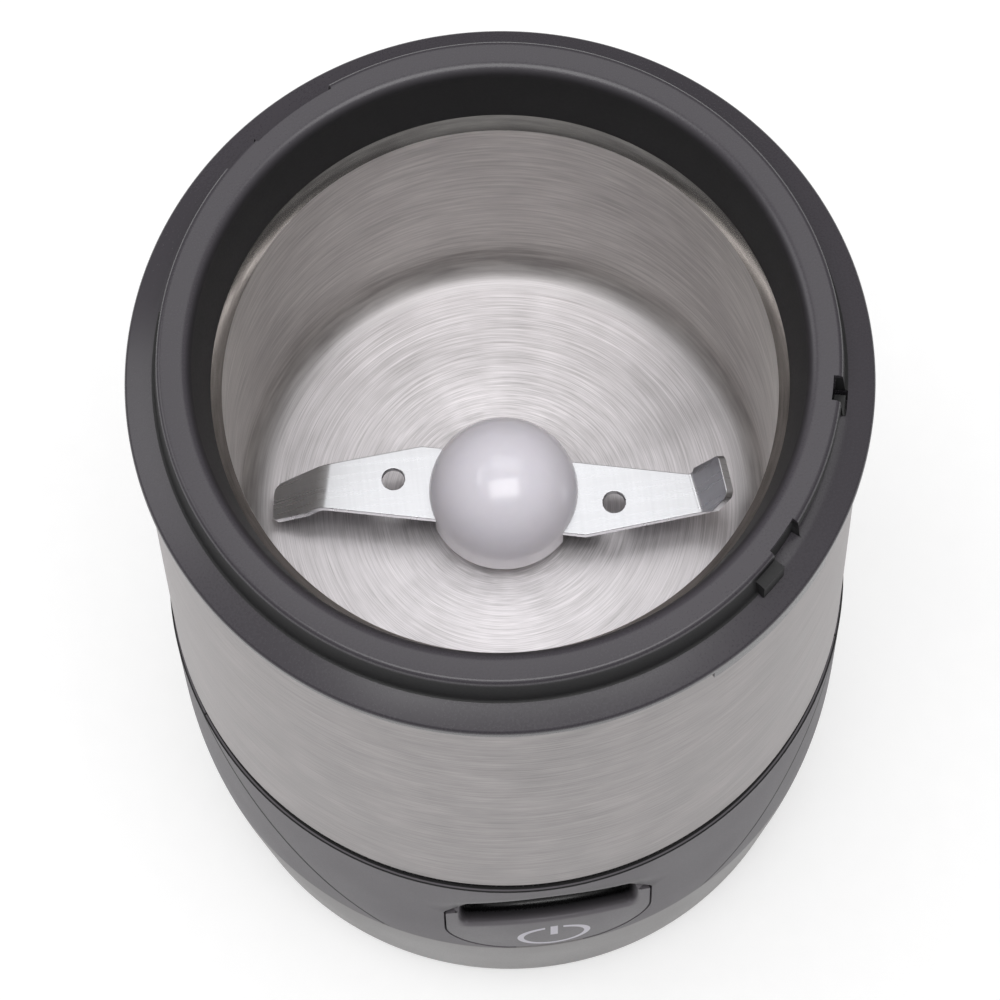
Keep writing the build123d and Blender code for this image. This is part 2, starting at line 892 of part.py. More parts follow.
def interlock_rod():
    """Push rod that the locked lid presses down onto the interlock switch."""
    rod = block(
        (-rod_half_width, -rod_outer, rod_low),
        (rod_half_width, -rod_inner, rim_top + rod_head_above_rim),
    )
    rod += block(
        (-rod_half_width, -rod_outer, rod_low),
        (rod_half_width, -rod_foot_inner, rod_low + rod_foot_height),
    )
    return spun(rod, rod_azimuth)


# --------------------------------------------------------------- sleeve, chassis, collar
def trim_ring():
    """Narrow ring between the base housing and the sleeve."""
    trim = ring(trim_radius, frame_ring_inner, shell_top, sleeve_foot)
    for azimuth in frame_screw_azimuths:
        x, y = spot(frame_screw_ring, azimuth)
        trim -= bar(frame_screw_radius + hole_gap, shell_top, sleeve_foot, x, y)
    return trim - rod_way(shell_top, sleeve_foot)


def frame_screws():
    """Screws up through the shell's flange and the trim ring into the chassis."""
    return group(
        screw(
            frame_screw_radius,
            frame_screw_head,
            flange_low - head_thick,
            frame_screw_length,
            *spot(frame_screw_ring, azimuth),
        )
        for azimuth in frame_screw_azimuths
    )


def sleeve():
    """Thin steel sleeve with a hem turned in under the chassis."""
    skin = ring(sleeve_radius, sleeve_radius - sleeve_wall, sleeve_foot, sleeve_top)
    return skin + ring(sleeve_radius, sleeve_hem_inner, sleeve_foot, sleeve_foot + sleeve_wall)


def chassis():
    """Inner frame: a tube with a deck for the motor, screw bosses and a top flange."""
    tube_outer = tube_inner + tube_wall
    frame = ring(tube_outer, tube_inner, sleeve_foot + sleeve_wall, frame_top)
    frame += ring(tube_outer, deck_hole_radius, deck_low, deck_top)
    frame += ring(tube_outer, top_flange_inner, frame_top - top_flange_thick, frame_top)
    rib = block(
        (-rib_thick / 2, -tube_inner - tube_wall / 2, deck_low - deck_rib_drop),
        (rib_thick / 2, -deck_rib_inner, deck_low),
    )
    for place in range(deck_rib_count):
        frame += spun(rib, place * 360 / deck_rib_count)
    screw_top = flange_low - head_thick + frame_screw_length
    boss_top = sleeve_foot + frame_boss_height
    web = block(
        (-rib_thick / 2, -tube_inner - tube_wall / 2, sleeve_foot + sleeve_wall),
        (rib_thick / 2, -frame_screw_ring, boss_top),
    )
    for azimuth in frame_screw_azimuths:
        x, y = spot(frame_screw_ring, azimuth)
        frame += bar(frame_boss_radius, sleeve_foot, boss_top, x, y) + spun(web, azimuth)
        frame -= bar(frame_screw_radius, sleeve_foot, screw_top, x, y)
    for azimuth in collar_screw_azimuths:
        x, y = spot(collar_screw_ring, azimuth)
        frame -= bar(collar_screw_radius + hole_gap, frame_top - top_flange_thick, frame_top, x, y)
        frame -= bar(collar_screw_head + hole_gap, deck_low, deck_top, x, y)
    for x in (-mount_x, mount_x):
        for y in (-mount_y, mount_y):
            frame -= bar(mount_screw_radius, deck_low, mount_screw_top, x, y)
    return frame - rod_way(deck_low, deck_top) - rod_way(frame_top - top_flange_thick, frame_top)


def collar():
    """Moulded top ring: flange over the sleeve, neck for the lid and throat over the bowl."""
    neck = turned(
        (throat_radius, lip_level),
        (gasket_inner - slip_gap, lip_level),
        (gasket_inner - slip_gap, underside),
        (tube_inner, underside),
        (tube_inner, frame_top),
        (tube_inner + tube_wall, frame_top),
        (tube_inner + tube_wall, sleeve_top + slip_gap),
        (sleeve_radius + slip_gap, sleeve_top + slip_gap),
        (sleeve_radius + slip_gap, rim_top - rim_edge),
        (flange_radius, rim_top - rim_edge),
        (flange_radius, rim_top, rim_round),
        (neck_radius, neck_foot, neck_cove),
        (neck_radius - neck_taper, neck_top, neck_outer_round),
        (mouth_radius, neck_top, neck_inner_round),
    )
    tab_top = rim_top - rim_edge
    neck += sector(
        flange_radius, sleeve_radius + slip_gap, tab_top - skirt_tab_drop, tab_top, *skirt_tab
    )
    neck += sector(
        neck_radius + lug_proud, throat_radius + track_depth, neck_foot - lug_sink,
        neck_top - lug_drop, right_lug_start, right_entry[0],
    )
    clear = neck_radius + 2 * lug_proud
    track = neck_radius - track_depth
    track_top = neck_foot + track_height
    neck -= sector(clear, track, neck_foot, neck_top, *right_entry)
    neck -= sector(clear, track, neck_foot, track_top, right_entry[1], right_track_end)
    neck -= sector(clear, track, neck_foot, neck_top, *left_entry)
    neck -= sector(clear, track, neck_foot, track_top, left_entry[1], left_track_end)
    step = neck_radius - left_step_depth
    neck -= sector(clear, step, neck_foot, neck_top, left_entry[1], left_step_end)
    neck -= rod_way(underside, neck_top)
    for azimuth in collar_screw_azimuths:
        x, y = spot(collar_screw_ring, azimuth)
        neck += bar(collar_boss_radius, frame_top, underside, x, y)
        neck -= bar(collar_screw_radius, frame_top, collar_screw_top, x, y)
    return neck


def collar_screws():
    """Screws up through the chassis' top flange into the collar."""
    return group(
        screw(
            collar_screw_radius,
            collar_screw_head,
            frame_top - top_flange_thick - head_thick,
            collar_screw_length,
            *spot(collar_screw_ring, azimuth),
        )
        for azimuth in collar_screw_azimuths
    )


# --------------------------------------------------------------------------- bowl
def bowl():
    """Drawn steel bowl with a flared mouth, a flat rim and a hole for the shaft seal."""
    flare_foot = rim_seat - bowl_flare_height
    return turned(
        (seal_hole_radius, deck_top),
        (bowl_foot_radius + bowl_wall, deck_top, bowl_corner + bowl_wall),
        (bowl_top_radius + bowl_wall, flare_foot - bowl_wall / 2),
        (throat_radius + bowl_wall, rim_seat - bowl_wall),
        (bowl_rim_radius, rim_seat - bowl_wall),
        (bowl_rim_radius, rim_seat),
        (throat_radius, rim_seat),
        (bowl_top_radius, flare_foot),
        (bowl_foot_radius, bowl_floor, bowl_corner),
        (seal_hole_radius, bowl_floor),
    )


def bowl_gasket():
    """Flat ring squeezed between the bowl's rim and the collar."""
    return ring(gasket_outer, gasket_inner, rim_seat, underside)


def shaft_seal():
    """Rubber seal held by a groove in the bowl's floor, with the shaft running in it."""
    bore = shaft_radius + running_gap
    return turned(
        (bore, deck_top - seal_flange_height),
        (seal_flange_radius, deck_top - seal_flange_height),
        (seal_flange_radius, deck_top),
        (seal_hole_radius, deck_top),
        (seal_hole_radius, bowl_floor),
        (seal_lip_radius, bowl_floor),
        (seal_lip_radius - seal_lip_taper, seal_top),
        (bore, seal_top),
    )


# --------------------------------------------------------------------- motor, fixed
def motor_mounts():
    """Rubber bushes between the deck and the motor's top bracket."""
    bush = ring(mount_radius, mount_bore, plate_level, deck_low)
    return group(Pos(x, y, 0) * bush for x in (-mount_x, mount_x) for y in (-mount_y, mount_y))


def mount_screws():
    """Screws that hang the motor from the deck."""
    head_low = plate_level - bracket_plate - head_thick
    return group(
        screw(mount_screw_radius, mount_screw_head, head_low, mount_screw_top - head_low, x, y)
        for x in (-mount_x, mount_x)
        for y in (-mount_y, mount_y)
    )


def top_bracket():
    """Steel bracket over the motor with a bearing cup and two legs."""
    plate_under = plate_level - bracket_plate
    bracket = block(
        (-bracket_half_x, -bracket_half_y, plate_under),
        (bracket_half_x, bracket_half_y, plate_level),
    )
    bracket += bar(cup_radius, top_cup_low, top_cup_high)
    bracket -= bar(bearing_radius, top_cup_low, top_bearing_low + top_bearing_length)
    bracket -= bar(shaft_radius + moving_gap, top_cup_low, top_cup_high)
    for side in (-1, 1):
        bracket += block(
            (side * leg_inner, -leg_half, stack_high),
            (side * (leg_inner + bracket_plate), leg_half, plate_level),
        )
        bracket += block(
            (side * leg_foot_inner, -leg_half, stack_high),
            (side * (leg_inner + bracket_plate), leg_half, stack_high + bracket_plate),
        )
        bracket -= bar(bolt_radius, stack_high, stack_high + bracket_plate, side * bolt_spread, 0)
        for y in (-mount_y, mount_y):
            hole = mount_screw_radius + hole_gap
            bracket -= bar(hole, plate_under, plate_level, side * mount_x, y)
    return bracket


def top_bearing():
    """Sleeve bearing in the top bracket."""
    bore = shaft_radius + running_gap
    return ring(bearing_radius, bore, top_bearing_low, top_bearing_low + top_bearing_length)


def stator_core():
    """Stack of stator plates with two poles and room for the field coils."""
    face = RectangleRounded(2 * stator_half_x, 2 * stator_half_y, stator_corner)
    core = Pos(0, 0, stack_low) * extrude(face, stack_height)
    core -= bar(stator_bore, stack_low, stack_high)
    for side in (-1, 1):
        core -= block(
            (-window_far, side * horn_half, stack_low), (window_far, side * window_half, stack_high)
        )
        core -= bar(bolt_radius + bolt_gap, stack_low, stack_high, side * bolt_spread, 0)
        for end in (-1, 1):
            core -= block(
                (side * window_near, end * neck_half, stack_low),
                (side * window_far, end * window_half, stack_high),
            )
    return core


def field_coils():
    """Two wound coils, one round each pole."""
    height = stack_height + 2 * coil_end
    outer = RectangleRounded(2 * coil_half, height, coil_corner)
    inner = Rectangle(2 * neck_half, stack_height)
    coil = extrude(outer - inner, coil_outer - coil_inner)
    middle = (stack_low + stack_high) / 2
    right = Pos(coil_inner, 0, middle) * (Plane.YZ * coil)
    return group([right, Rot(0, 0, 180) * right])


def brush_bridge():
    """Lower frame with a bearing cup, two brush tubes and legs up to the stator."""
    bridge = block(
        (-stator_half_x, -bridge_half_y, bridge_low), (stator_half_x, bridge_half_y, bridge_high)
    )
    bridge += block(
        (-bridge_arm_half, -bridge_arm_reach, bridge_low),
        (bridge_arm_half, bridge_arm_reach, bridge_high),
    )
    bridge += bar(cup_radius, lower_cup_low, bridge_low)
    bridge -= bar(bearing_radius, lower_bearing_low, bridge_high)
    bridge -= bar(cup_floor_hole, lower_cup_low, bridge_high)
    skin = brush_gap + tube_skin
    for side in (-1, 1):
        bridge += block(
            (-brush_half - skin, side * tube_near, bridge_low),
            (brush_half + skin, side * tube_far, brush_high + skin),
        )
        bridge -= block(
            (-brush_half - brush_gap, side * tube_near, brush_low - brush_gap),
            (brush_half + brush_gap, side * (tube_far - tube_skin), brush_high + brush_gap),
        )
        bridge += bar(bridge_leg_radius, bridge_low, stack_low, side * bolt_spread, 0)
        bridge -= bar(bolt_radius + bolt_gap, bridge_low, stack_low, side * bolt_spread, 0)
    return bridge


def lower_bearing():
    """Sleeve bearing in the brush bridge."""
    bore = shaft_end_radius + running_gap
    return ring(bearing_radius, bore, lower_bearing_low, lower_bearing_high)


def carbon_brushes():
    """Two brushes whose hollow ends ride on the commutator."""
    near = commutator_radius / 2
    brush = block((-brush_half, -brush_back, brush_low), (brush_half, -near, brush_high))
    brush -= bar(commutator_radius + running_gap, brush_low, brush_high)
    return group([brush, Rot(0, 0, 180) * brush])


def brush_springs():
    """Two folded leaf springs that press the brushes inwards."""
    run = tube_far - tube_skin - brush_back
    pitch = run / spring_folds
    low = brush_low + brush_gap
    high = brush_high - brush_gap
    middle = (low + high) / 2
    front = block(
        (-brush_half, -brush_back - spring_leaf, low), (brush_half, -brush_back, high)
    )
    spring = front
    for fold in range(spring_folds):
        near = brush_back + fold * pitch
        leaf = block(
            (-brush_half, -near - pitch, low if fold % 2 else high - spring_leaf),
            (brush_half, -near, low + spring_leaf if fold % 2 else high),
        )
        upright = block(
            (-brush_half, -near - pitch, low), (brush_half, spring_leaf - near - pitch, high)
        )
        spring = spring + leaf + upright
    return group([spring, Rot(0, 0, 180) * spring])


def through_bolts():
    """Two long bolts that clamp bridge, stator and top bracket together."""
    head_low = bridge_low - head_thick
    length = stack_high + bracket_plate - head_low
    return group(
        screw(bolt_radius, bolt_head, head_low, length, x, 0) for x in (-bolt_spread, bolt_spread)
    )


# ------------------------------------------------------------------- motor, turning
def motor_shaft():
    """Stepped steel shaft from the lower bearing to the blade."""
    shaft = bar(shaft_end_radius, shaft_low, shaft_step) + bar(shaft_radius, shaft_step, blade_low)
    return shaft + bar(shaft_end_radius, blade_low, blade_low + shaft_above_blade)


def armature_slot(half, mouth, near, far):
    """Slot in the armature, from its round root to its narrow mouth."""
    slot = block((-half, -far, stack_low), (half, -near, stack_high))
    return slot + block((-mouth, -armature_radius, stack_low), (mouth, -near, stack_high))


def armature_core():
    """Stack of armature plates with slots for the winding."""
    core = ring(armature_radius, shaft_radius, stack_low, stack_high)
    slot = armature_slot(slot_half, slot_mouth_half, slot_low_radius, slot_high_radius)
    for place in range(slot_count):
        core -= spun(slot, place * 360 / slot_count)
    return core


def armature_winding():
    """Winding: bars in the slots and a bundle of end turns at each end."""
    half = slot_half - winding_gap
    far = slot_high_radius - winding_gap
    slot_bar = block(
        (-half, -far, stack_low - winding_end / 2),
        (half, -slot_low_radius - winding_gap, stack_high + winding_end / 2),
    )
    bundle = turned(
        (winding_inner, 0),
        (winding_radius, 0),
        (winding_radius, winding_end - winding_slope),
        (winding_radius - winding_slope, winding_end),
        (winding_inner, winding_end),
    )
    winding = Pos(0, 0, stack_high) * bundle + Pos(0, 0, stack_low) * (Rot(180, 0, 0) * bundle)
    for place in range(slot_count):
        winding += spun(slot_bar, place * 360 / slot_count)
    return winding


def commutator():
    """Commutator drum with a groove between each pair of segments."""
    drum = ring(commutator_radius, shaft_radius, commutator_low, commutator_high)
    groove = block(
        (-groove_half, -commutator_radius - groove_depth, commutator_low),
        (groove_half, groove_depth - commutator_radius, commutator_high),
    )
    for place in range(slot_count):
        drum -= spun(groove, (place + 0.5) * 360 / slot_count)
    return drum


def fan():
    """Cooling fan: a disc with leaning blades and a hub on the shaft."""
    wheel = ring(fan_radius, shaft_radius, fan_low, fan_disc_top)
    wheel += ring(fan_hub_radius, shaft_radius, fan_low, fan_low + fan_hub_length)
    vane = block(
        (-fan_blade_thick / 2, fan_blade_inner - fan_radius, fan_disc_top),
        (fan_blade_thick / 2, 0, fan_disc_top + fan_blade_height),
    )
    vane = Pos(0, -fan_blade_inner, 0) * (Rot(0, 0, fan_blade_lean) * vane)
    for place in range(fan_blade_count):
        wheel += spun(vane, place * 360 / fan_blade_count)
    return wheel & bar(fan_radius, fan_low, fan_disc_top + fan_blade_height)


def blade_spacer():
    """Bush that holds the blade clear of the bowl's floor."""
    return ring(spacer_radius, shaft_radius, seal_top + spacer_low_gap, blade_low)


def blade_arm(shoulder, heel, lean, *flap):
    """One arm: its flat part, the flap beyond the fold and the rounded fold between them."""
    flat = outline(
        (0, blade_root_half),
        shoulder,
        heel,
        (blade_taper_start, -blade_root_half),
        (0, -blade_root_half),
    )
    near = Vector(*shoulder)
    far = Vector(*heel)
    along = (far - near).normalized()
    out = Vector(-along.Y, along.X)
    rising = out * cos(radians(lean)) + Vector(0, 0, sin(radians(lean)))
    flap_plane = Plane(origin=near, x_dir=rising, z_dir=rising.cross(along))
    fold_plane = Plane(origin=(near + far) / 2, z_dir=along)
    arm = extrude(flat, blade_thick / 2, both=True)
    arm += extrude(flap_plane * outline(*flap), blade_thick / 2, both=True)
    arm += fold_plane * Cylinder(blade_thick / 2, (far - near).length)
    return arm - bar(blade_hole, -blade_thick, blade_thick, blade_hole_at, 0)


def blade():
    """Two-armed blade: one tip folded up and forwards, the other folded down."""
    up_arm = blade_arm(
        (up_fold, blade_root_half),
        up_heel,
        up_lean,
        (0, 0),
        (1.2, -0.7),
        (up_flap, 0.2, 0.8),
        (up_flap - 0.5, 6.2, 1.2),
        (2.5, 6.6),
        (0, (Vector(*up_heel) - Vector(up_fold, blade_root_half)).length),
    )
    down_arm = blade_arm(
        (down_fold, blade_root_half),
        down_heel,
        down_lean,
        (0, 0),
        (1.9, -0.7),
        (down_flap - 0.6, -1.2, 0.5),
        (down_flap, 4.0, 1.5),
        (down_flap - 2.9, 4.9),
        (0, blade_root_half - down_heel[1]),
    )
    steel = up_arm + Rot(0, 0, 180) * down_arm
    steel -= bar(shaft_end_radius, -blade_thick, blade_thick)
    return Pos(0, 0, blade_middle) * (Rot(0, 0, blade_turn) * steel)


def hub_cap():
    """Domed cap pressed onto the shaft's end, with a slot that the blade passes through."""
    low = blade_middle - hub_skirt
    blade_top = blade_low + blade_thick
    dome = Sphere(hub_radius, 0, 90, align=(Align.CENTER, Align.CENTER, Align.MIN))
    cap = bar(hub_radius, low, blade_middle) + Pos(0, 0, blade_middle) * dome
    cap -= bar(hub_cavity_radius, low, blade_top)
    half = blade_root_half + hub_slot_gap
    slot = block((-hub_radius, -half, low), (hub_radius, half, blade_top))
    cap -= Rot(0, 0, blade_turn) * slot
    return cap - bar(shaft_end_radius, blade_top, blade_low + shaft_above_blade)


pieces = [
    rubber_feet, base_plate, base_screws, lower_band, base_shell, front_panel,
    button, button_pin, switch_bracket, power_switch, switch_plunger, switch_screws,
    cord_clamp, clamp_screws, interlock_switch, interlock_plunger, interlock_rod,
    trim_ring, frame_screws, sleeve, chassis, collar, collar_screws,
    bowl, bowl_gasket, shaft_seal,
    motor_mounts, mount_screws, top_bracket, top_bearing, stator_core, field_coils,
    brush_bridge, lower_bearing, carbon_brushes, brush_springs, through_bolts,
    motor_shaft, armature_core, armature_winding, commutator, fan,
    blade_spacer, blade, hub_cap,
]

if __name__ == "__main__":
    os.makedirs("parts", exist_ok=True)
    for piece in pieces:
        export_step(piece(), f"parts/{piece.__name__}.step")
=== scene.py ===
import bmesh
import bpy
from math import asin, atan2, ceil, cos, degrees, hypot, pi, radians, sin, sqrt, tan, tau
from mathutils import Matrix, Vector


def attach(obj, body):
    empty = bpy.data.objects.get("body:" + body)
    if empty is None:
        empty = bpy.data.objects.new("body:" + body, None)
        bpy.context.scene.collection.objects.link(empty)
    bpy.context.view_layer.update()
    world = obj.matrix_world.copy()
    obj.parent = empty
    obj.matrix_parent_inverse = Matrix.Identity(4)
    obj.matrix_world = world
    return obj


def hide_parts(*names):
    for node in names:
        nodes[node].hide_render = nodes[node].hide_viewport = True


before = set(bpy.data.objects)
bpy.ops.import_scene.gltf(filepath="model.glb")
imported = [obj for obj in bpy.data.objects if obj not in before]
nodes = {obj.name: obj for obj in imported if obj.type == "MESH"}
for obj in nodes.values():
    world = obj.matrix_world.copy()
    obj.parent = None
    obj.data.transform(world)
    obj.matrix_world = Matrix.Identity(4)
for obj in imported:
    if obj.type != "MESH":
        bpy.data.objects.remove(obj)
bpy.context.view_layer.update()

# Rubber feet: four moulded pads of black rubber, pushed from below into sockets in the base plate
# and held there by a barb. Their faces are dull and a little dusty from the worktop.
mm = 0.001


def srgb(red, green, blue):
    """A colour given as it looks on a screen, 0 to 255, as Blender's linear colour."""
    parts = [value / 255 for value in (red, green, blue)]
    linear = [p / 12.92 if p <= 0.04045 else ((p + 0.055) / 1.055) ** 2.4 for p in parts]
    return (*linear, 1.0)


class Wire:
    """A node's output that can stand in a sum, as numbers do."""

    def __init__(self, finish, socket):
        self.finish = finish
        self.socket = socket

    def __add__(self, other):
        return self.finish.maths("ADD", self, other)

    def __radd__(self, other):
        return self.finish.maths("ADD", other, self)

    def __sub__(self, other):
        return self.finish.maths("SUBTRACT", self, other)

    def __rsub__(self, other):
        return self.finish.maths("SUBTRACT", other, self)

    def __mul__(self, other):
        return self.finish.maths("MULTIPLY", self, other)

    def __rmul__(self, other):
        return self.finish.maths("MULTIPLY", other, self)

    def __truediv__(self, other):
        return self.finish.maths("DIVIDE", self, other)

    def __rtruediv__(self, other):
        return self.finish.maths("DIVIDE", other, self)

    def __pow__(self, other):
        return self.finish.maths("POWER", self, other)

    def __neg__(self):
        return self.finish.maths("MULTIPLY", self, -1)

    def __abs__(self):
        return self.finish.maths("ABSOLUTE", self)

    def __lt__(self, other):
        return self.finish.maths("LESS_THAN", self, other)

    def __gt__(self, other):
        return self.finish.maths("GREATER_THAN", self, other)


class Finish:
    """One material: its Principled shader and the nodes that feed it."""

    def __init__(self, name, constants=()):
        self.material = bpy.data.materials.new(name)
        self.material.use_nodes = True
        self.tree = self.material.node_tree
        self.shader = self.tree.nodes["Principled BSDF"]
        for label, value in dict(constants).items():
            self.shader.inputs[label].default_value = value

    def feed(self, socket, value):
        if isinstance(value, Wire):
            self.tree.links.new(value.socket, socket)
        else:
            socket.default_value = value

    def add(self, kind, inputs, output=0, **settings):
        """A node of any kind, from its settings and what its sockets hold or are linked to."""
        node = self.tree.nodes.new(kind)
        for key, value in settings.items():
            setattr(node, key, value)
        for key, value in inputs.items():
            self.feed(node.inputs[key], value)
        return Wire(self, node.outputs[output])

    def maths(self, operation, *values):
        return self.add("ShaderNodeMath", dict(enumerate(values)), operation=operation)

    def place(self):
        """Where a point of the object is, in metres."""
        return self.add("ShaderNodeTexCoord", {}, "Object")

    def axes(self):
        """The same as three separate numbers, in millimetres."""
        split = self.add("ShaderNodeSeparateXYZ", {0: self.place()}).socket.node.outputs
        return [Wire(self, split[axis]) * 1000 for axis in range(3)]

    def joined(self, x, y, z):
        return self.add("ShaderNodeCombineXYZ", {0: x, 1: y, 2: z})

    def scaled(self, where, x, y, z):
        """A place stretched along the axes."""
        return self.add(
            "ShaderNodeVectorMath", {0: where, 1: (x, y, z)}, operation="MULTIPLY"
        )

    def noise(self, where, scale, detail=2.0, rough=0.5):
        inputs = {"Vector": where, "Scale": scale, "Detail": detail, "Roughness": rough}
        return self.add("ShaderNodeTexNoise", inputs)

    def ramp(self, value, low, high, start=0.0, stop=1.0):
        """A value's range laid over another range, and held at its ends."""
        return self.add("ShaderNodeMapRange", {0: value, 1: low, 2: high, 3: start, 4: stop})

    def streaks(self, where, scale=1.0, detail=3.0):
        """Noise drawn out to its full contrast."""
        return self.ramp(self.noise(where, scale, detail, 0.6), 0.32, 0.68)

    def blend(self, share, first, second):
        return self.add("ShaderNodeMix", {0: share, 6: first, 7: second}, 2, data_type="RGBA")

    def bump(self, height, distance, strength=1.0):
        """Raised and sunken detail; the distance is in millimetres."""
        inputs = {"Height": height, "Distance": distance * mm, "Strength": strength}
        self.feed(self.shader.inputs["Normal"], self.add("ShaderNodeBump", inputs))

    def colour(self, value):
        self.feed(self.shader.inputs["Base Color"], value)

    def rough(self, value):
        self.feed(self.shader.inputs["Roughness"], value)

    def tone(self, share, first, second):
        self.colour(self.blend(share, srgb(*first), srgb(*second)))


def dress(names, finish):
    """Gives CAD nodes their finish and shades their round faces smooth."""
    for name in names:
        node = nodes[name]
        node.data.materials.clear()
        node.data.materials.append(finish.material)
        for face in node.data.polygons:
            face.use_smooth = True
        weld = node.modifiers.new("joined", "WELD")
        weld.merge_threshold = 0.000001
        split = node.modifiers.new("crisp edges", "EDGE_SPLIT")
        split.split_angle = radians(28)


rubber = Finish("black rubber", {"Specular IOR Level": 0.35})
grain = rubber.noise(rubber.place(), 2600, 3)
dust = rubber.ramp(rubber.noise(rubber.place(), 190, 4), 0.45, 0.75)
rubber.tone(dust * 0.45 + grain * 0.1, (30, 30, 31), (66, 64, 62))
rubber.rough(rubber.ramp(grain, 0.3, 0.7, 0.62, 0.84))
rubber.bump(grain + dust * 0.4, 0.05)
dress(["rubber_feet", "motor_mounts"], rubber)

# Base plate: a moulded cover of black glass filled plastic with ten air slots, four counterbored
# screw holes and the feet's sockets. Four long screws hold it up against the shell's columns. The
# inner frame, the bridge and bracket, both switches and the cord's clamp are of the same plastic.
frame_black = Finish("black glass filled plastic")
speck = frame_black.noise(frame_black.place(), 1500, 4, 0.65)
flow = frame_black.noise(frame_black.scaled(frame_black.place(), 30, 30, 90), 1, 3)
frame_black.tone(speck * 0.5 + flow * 0.5, (36, 36, 38), (62, 62, 64))
frame_black.rough(frame_black.ramp(speck + flow, 0.6, 1.4, 0.42, 0.68))
frame_black.bump(speck, 0.04)
dress(
    ["base_plate", "chassis", "brush_bridge", "switch_bracket", "power_switch",
     "interlock_switch", "cord_clamp"],
    frame_black,
)

# Screws and bolts: cold formed steel with bright zinc plating, a little hazy from handling. They
# go up into the shell's columns, the frame, the collar, the motor and the small brackets.
zinc = Finish("bright zinc plating", {"Metallic": 1.0})
mottle = zinc.noise(zinc.place(), 700, 3)
haze = zinc.noise(zinc.place(), 160, 2)
zinc.tone(mottle * 0.5 + haze * 0.5, (158, 160, 160), (206, 205, 196))
zinc.rough(zinc.ramp(mottle, 0.3, 0.7, 0.18, 0.36))
zinc.bump(mottle, 0.01)
dress(
    ["base_screws", "clamp_screws", "switch_screws", "frame_screws", "collar_screws",
     "mount_screws", "through_bolts"],
    zinc,
)

# Lower band: an injection moulded ring with satin silver grey paint, clipped under the shell. Its
# wall leans in towards the floor, and a ledge inside carries the base plate.
foot_height, foot_radius, foot_slope = 1.5, 45.2, 3.55 / 26.1
waist_height, waist_radius, waist_slope = 27.6, 48.75, 0.35 / 30.9
arc_axis, arc_height, arc_radius = -121.125, 40.07, 170.0
arc_start, arc_stop = 17.15, 38.15


def body_radius(height):
    """Radius of the base's outside at a height, in mm: two slopes joined by a long arc."""
    if height < arc_start:
        return foot_radius + (height - foot_height) * foot_slope
    if height > arc_stop:
        return waist_radius + (height - waist_height) * waist_slope
    return arc_axis + sqrt(arc_radius**2 - (height - arc_height) ** 2)


def round_corner(shape, vert, radius):
    """Turns a corner of a wire outline into an arc."""
    arms = [edge.other_vert(vert).co - vert.co for edge in vert.link_edges]
    turn = pi - arms[0].angle(arms[1])
    bmesh.ops.bevel(
        shape, geom=[vert], offset=radius * mm * tan(turn / 2), offset_type="OFFSET",
        segments=max(2, ceil(turn / radians(11))), profile=0.5, affect="VERTICES",
        clamp_overlap=True, material=-1,
    )


def turned(corners, steps=240, closed=True):
    """A mesh turned about the Z axis from a profile of (radius, height) or (radius, height,
    corner radius), in mm."""
    shape = bmesh.new()
    verts = [shape.verts.new((corner[0] * mm, 0, corner[1] * mm)) for corner in corners]
    for first, second in zip(verts, verts[1:] + verts[:1] if closed else verts[1:]):
        shape.edges.new((first, second))
    for vert, corner in zip(verts, corners):
        if len(corner) == 3:
            round_corner(shape, vert, corner[2])
    bmesh.ops.spin(
        shape, geom=shape.verts[:] + shape.edges[:], cent=(0, 0, 0), axis=(0, 0, 1),
        angle=tau / 4, steps=steps // 4,
    )
    for turn in (tau / 4, tau / 2):
        copied = bmesh.ops.duplicate(shape, geom=shape.verts[:] + shape.edges[:] + shape.faces[:])
        moved = [part for part in copied["geom"] if isinstance(part, bmesh.types.BMVert)]
        bmesh.ops.rotate(shape, verts=moved, cent=(0, 0, 0), matrix=Matrix.Rotation(turn, 3, "Z"))
    bmesh.ops.remove_doubles(shape, verts=shape.verts, dist=0.0000005)
    bmesh.ops.recalc_face_normals(shape, faces=shape.faces)
    return shape


def placed(name, shape, finish):
    """Puts a finished mesh into the scene as an object."""
    mesh = bpy.data.meshes.new(name)
    shape.to_mesh(mesh)
    shape.free()
    mesh.materials.append(finish.material)
    made = bpy.data.objects.new(name, mesh)
    bpy.context.scene.collection.objects.link(made)
    return made


def piece(name, shape, body, finish, replaced, sharp=30):
    """Makes the finished mesh an object that rides on a CAD body and stands for CAD nodes."""
    made = placed(name, shape, finish)
    made.data.shade_smooth()
    made.data.set_sharp_from_angle(angle=radians(sharp))
    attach(made, body)
    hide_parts(*replaced)
    return made


paint = Finish("silver grey satin paint", {"Metallic": 0.3, "Specular IOR Level": 0.4})
flake = paint.noise(paint.place(), 4200, 2)
cloud = paint.noise(paint.place(), 45, 3)
paint.tone(flake * 0.55 + cloud * 0.45, (118, 115, 116), (148, 145, 145))
paint.rough(paint.ramp(flake + cloud, 0.7, 1.3, 0.34, 0.5))
paint.bump(flake * 0.4 + paint.noise(paint.place(), 600, 2) * 0.6, 0.012)
band_top, band_wall, band_mouth = 25.2, 2.2, 43.0
ledge_low, ledge_high, ledge_radius = 4.4, 6.2, 36.4
arc = [(body_radius(height), height) for height in (arc_start, 18.5, 19.8, 21.2, 22.5, 23.9)]
inner = [(body_radius(height) - band_wall, height) for height in (band_top, 18.0, ledge_high)]
shape = turned(
    [(band_mouth, foot_height), (foot_radius, foot_height, 0.5), *arc,
     (body_radius(band_top), band_top, 0.3), *inner, (ledge_radius, ledge_high),
     (ledge_radius, ledge_low), (body_radius(ledge_low) - band_wall, ledge_low)],
)
piece("silver_band", shape, "root", paint, ["lower_band"])

